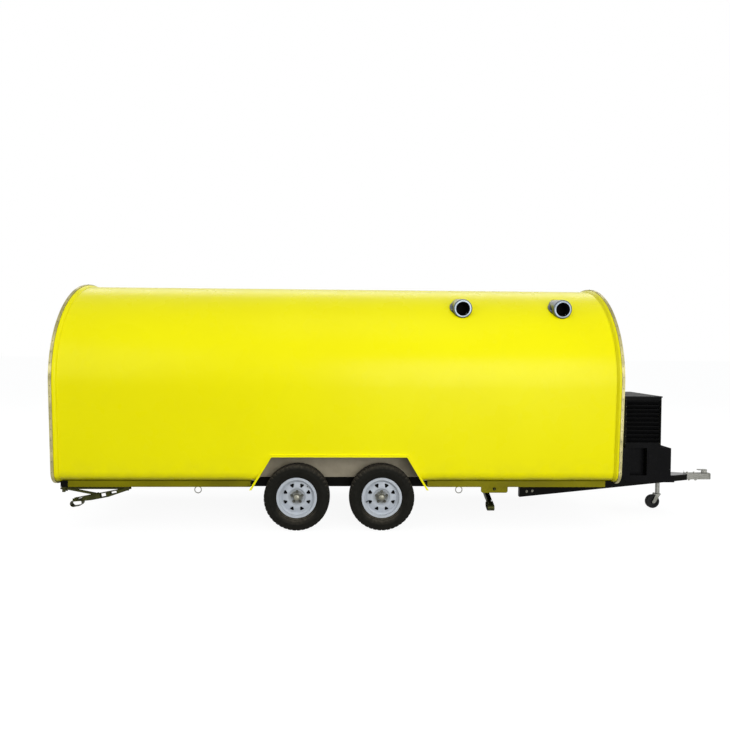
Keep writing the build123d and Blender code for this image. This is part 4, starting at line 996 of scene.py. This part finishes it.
seal_depth, seal_radius, seal_step = 0.014, 0.0028, 0.2
hinge_screw_y, door_screw_z, frame_screw_z = 0.034, 0.027, 0.067
lock_drop, handle_foot_inset = 0.070, 0.018
lock_face = [(0.024, 0), (0.024, 0.003), (0.020, 0.006), (0.013, 0.006), (0.013, 0.012), (0.011, 0.014),
             (0.0005, 0.014)]
handle_foot = [(0.017, 0), (0.017, 0.003), (0.013, 0.006), (0.0091, 0.006)]
strip_inset, strip_end, strip_thickness, strip_step = 0.002, 0.034, 0.0022, 0.04
hatch_foot, hatch_head_gap = 0.001, 0.012
hatch_rivet_inset, hatch_rivet_start, hatch_rivet_gap = 0.018, 0.03, 0.12
latch_rise, latch_inset, latch_step = 0.070, 0.250, 0.2
latch_plate, latch_depth = (0.044, 0.070, 0.010), 0.005
latch_knob = [(0.013, 0.005), (0.013, 0.011), (0.011, 0.013), (0.0004, 0.013)]
lamp_seal_lap, lamp_seal_lift, lamp_seal_radius, lamp_corner = 0.004, 0.003, 0.0042, 0.025
amber_aside, amber_margin, amber_width, amber_corner, amber_depth = 0.054, 0.024, 0.052, 0.014, 0.004
lamp_screw_ys = (-0.082, 0.018)
arch_screw_drop, arch_screw_half, arch_screw_gap = 0.010, 0.64, 0.21


def door_fittings():
    """Seal, hinge screws and lock of the rear door."""
    low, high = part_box("door")
    half, base, top = door_width / 2 - panel_gap / 2, low.z - panel_gap / 2, high.z + panel_gap / 2
    corner = door_corner - panel_gap / 2
    x = rear_x + seal_depth
    path = [(x, half, base), (x, half, top - corner)]
    for angle in spaced(0, pi / 2, seal_step):
        path.append((x, half - corner + corner * cos(angle), top - corner + corner * sin(angle)))
    path += [(x, -y, z) for x, y, z in reversed(path)]
    mesh = bmesh.new()
    tube(mesh, path, seal_radius, 8, closed=True)
    finish(mesh, "door_seal", "rubber", 60)
    foot, head = low.z - panel_gap + door_hinge_inset, high.z + panel_gap - door_hinge_inset
    for name, body, aside, rise in (("door_hinge_screws", "door", -hinge_screw_y, door_screw_z),
                                    ("frame_hinge_screws", "trailer", hinge_screw_y, frame_screw_z)):
        mesh = bmesh.new()
        for z in (foot, (foot + head) / 2, head):
            spots = [(rear_x - strap, door_width / 2 + aside, z + d) for d in (-rise, rise)]
            rivets(mesh, spots, (-1, 0, 0), hinge_rivet)
        finish(mesh, name, "steel", 50, body=body)
    low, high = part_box("door_handle")
    y = (low.y + high.y) / 2
    mesh = bmesh.new()
    lathe(mesh, lock_face, facing((rear_x, y, low.z - lock_drop), (-1, 0, 0)), 28)
    for z in (low.z + handle_foot_inset, high.z - handle_foot_inset):
        lathe(mesh, handle_foot, facing((rear_x, y, z), (-1, 0, 0)), 24)
    finish(mesh, "door_lock", "steel", 50, body="door")


def hatch_fittings():
    """Edge strips, rivets and latches of the serving hatch."""
    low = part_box("hatch")[0].z
    x0, x1 = body_mid + hatch_span[0] + panel_gap, body_mid + hatch_span[1] - panel_gap
    head = hatch_head_angle - hatch_head_gap
    edge = left_path(low + hatch_foot, head, strip_step)
    mesh = bmesh.new()
    ribbon(mesh, edge, x0 + strip_inset, x0 + strip_end, strip_thickness)
    ribbon(mesh, edge, x1 - strip_end, x1 - strip_inset, strip_thickness)
    ribbon(mesh, edge[:2], x0 + strip_end, x1 - strip_end, strip_thickness)
    finish(mesh, "hatch_strips", "stainless", body="hatch")
    mesh = bmesh.new()
    path = left_path(low + hatch_rivet_start, head, hatch_rivet_gap)
    for x in (x0 + hatch_rivet_inset, x1 - hatch_rivet_inset):
        rivet_line(mesh, path, x, strip_thickness, hatch_rivet)
    finish(mesh, "hatch_rivets", "rivet", 50, body="hatch")
    mesh = bmesh.new()
    point, way = left_path(low + latch_rise, head, latch_step)[0]
    for x in (x0 + latch_inset, x1 - latch_inset):
        place = facing(point + Vector((x, 0, 0)), way)
        prism(mesh, rounded(*latch_plate), place, latch_depth)
        lathe(mesh, latch_knob, place, 24)
    finish(mesh, "hatch_latches", "plastic", body="hatch")


def lamp_fittings():
    """Seal, amber lens and screws of each tail lamp."""
    low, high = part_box("tail_lamps")
    middle_z, height = (low.z + high.z) / 2, high.z - low.z
    seal_outline = rounded(lamp_width + lamp_seal_lap, height + lamp_seal_lap, lamp_corner)
    amber_outline = rounded(height - amber_margin, amber_width, amber_corner)
    seal, amber, screws = bmesh.new(), bmesh.new(), bmesh.new()
    for side in (-1, 1):
        y = side * (high.y - lamp_width / 2)
        path = [(rear_x - lamp_seal_lift, y + u, middle_z + v) for u, v in seal_outline]
        tube(seal, path, lamp_seal_radius, 8, closed=True)
        spot = Matrix.Translation((low.x, y + side * amber_aside, middle_z))
        prism(amber, amber_outline, spot @ Matrix.Rotation(-pi / 2, 4, "Y"), amber_depth)
        rivets(screws, [(low.x, y + side * u, middle_z) for u in lamp_screw_ys], (-1, 0, 0), lamp_rivet)
    finish(seal, "lamp_seals", "rubber", 60)
    finish(amber, "lamp_amber", "amber")
    finish(screws, "lamp_screws", "steel", 50)


def arch_screws():
    """Screws along the arch lips."""
    low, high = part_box("arch_lips")
    middle_x, z = (low.x + high.x) / 2, high.z - arch_screw_drop
    stations = spaced(-arch_screw_half, arch_screw_half, arch_screw_gap)
    mesh = bmesh.new()
    for side in (-1, 1):
        rivets(mesh, [(middle_x + d, side * high.y, z) for d in stations], (0, side, 0), arch_rivet)
    finish(mesh, "arch_screws", "lip", 50)


# Stage, light and camera

sky_light, white, sky, ground = 0.42, (1, 1, 1, 1), (0.93, 0.97, 1.0, 1), (0.30, 0.29, 0.27, 1)
sky_span = (0.47, 0.56)
floor_reach, floor_colour, floor_glow = 120, (0.16, 0.16, 0.16, 1), 0.92
middle = (cad_box[0] + cad_box[1]) / 2
# Soft lamps: name, place and aim from the trailer's middle, width and height, power
lamps = [
    ("key", (3, -11.5, 1.5), (0, 0, 0), (7, 7), 940),
    ("fill", (-7, -8, 3), (0, 0, 0), (6, 6), 190),
    ("top", (0, -4, 9), (0, -0.4, 0.8), (6, 6), 110),
    ("back", (0, 9, 9), (0, 0, 0), (20, 4), 420),
]


def seen_ray(net):
    """1 for rays of the camera, of mirrors and of glass, which see the white surround."""
    path = net.add("ShaderNodeLightPath").outputs
    mirrored = net.math("MAXIMUM", path["Is Camera Ray"], path["Is Glossy Ray"])
    return net.math("MAXIMUM", mirrored, path["Is Transmission Ray"])


def make_world():
    """White surround; what lights the trailer is a soft sky over a dim ground."""
    world = bpy.data.worlds.new("studio")
    bpy.context.scene.world = world
    net = Nodes(world)
    way = net.add("ShaderNodeTexCoord").outputs["Generated"]
    height = net.add("ShaderNodeSeparateXYZ", {0: way}).outputs["Z"]
    ramp = net.add("ShaderNodeValToRGB", {"Fac": net.math("MULTIPLY_ADD", height, 0.5, 0.5)})
    for stop, position, colour in zip(ramp.color_ramp.elements, sky_span, (ground, sky)):
        stop.position, stop.color = position, colour
    light = net.add("ShaderNodeBackground", {"Color": ramp.outputs["Color"], "Strength": sky_light})
    seen = net.add("ShaderNodeBackground", {"Color": white, "Strength": 1.0})
    mix = net.add("ShaderNodeMixShader", {"Fac": seen_ray(net), 1: light.outputs[0], 2: seen.outputs[0]})
    net.add("ShaderNodeOutputWorld", {"Surface": mix.outputs[0]})


def make_floor():
    """Pale floor that keeps the trailer's shadow and fades into the surround."""
    mesh = bmesh.new()
    bmesh.ops.create_grid(mesh, x_segments=2, y_segments=2, size=floor_reach)
    material = bpy.data.materials.new("floor")
    net = Nodes(material)
    diffuse = net.add("ShaderNodeBsdfDiffuse", {"Color": floor_colour})
    strength = net.math("MULTIPLY", seen_ray(net), floor_glow)
    glow = net.add("ShaderNodeEmission", {"Strength": strength})
    total = net.add("ShaderNodeAddShader", {0: diffuse.outputs[0], 1: glow.outputs[0]})
    net.add("ShaderNodeOutputMaterial", {"Surface": total.outputs[0]})
    floor = mesh_object("floor", mesh, material)
    floor.location.z = cad_box[0].z


def softbox(name, place, aim, size, power):
    """Soft lamp of a width and height at a place, aimed at a point."""
    lamp = bpy.data.lights.new(name, "AREA")
    lamp.shape = "RECTANGLE"
    lamp.size, lamp.size_y = size
    lamp.energy = power
    item = new_object(name, lamp)
    item.location = place
    item.rotation_mode = "QUATERNION"
    item.rotation_quaternion = (aim - place).to_track_quat("-Z", "Y")


def make_camera():
    """Camera at the photograph's viewpoint."""
    level = Vector((sin(camera_yaw), cos(camera_yaw), 0))
    ahead = level * cos(camera_pitch) + Vector((0, 0, sin(camera_pitch)))
    right = Vector((cos(camera_yaw), -sin(camera_yaw), 0))
    up = right.cross(ahead)
    turned = right * cos(camera_roll) + up * sin(camera_roll)
    raised = up * cos(camera_roll) - right * sin(camera_roll)
    data = bpy.data.cameras.new("camera")
    data.sensor_width = sensor_width
    data.lens = focal_pixels / image_size * sensor_width
    data.clip_end = view_depth
    item = new_object("camera", data)
    matrix = Matrix((turned, raised, -ahead)).transposed().to_4x4()
    item.matrix_world = Matrix.Translation(camera_place) @ matrix
    bpy.context.scene.camera = item


dress_nodes()
for end in ("rear", "front"):
    for side, sign in (("right", -1), ("left", 1)):
        wheel_hardware(end, side, sign)
dust_shields()
trim_rivets()
vent_fittings()
chassis_bolts()
coupler_fittings()
jockey_fittings()
steady_fittings()
generator_fittings()
door_fittings()
hatch_fittings()
lamp_fittings()
arch_screws()
make_world()
make_floor()
for name, place, aim, size, power in lamps:
    softbox(name, middle + Vector(place), middle + Vector(aim), size, power)
make_camera()
bpy.context.scene.view_settings.view_transform = "Standard"
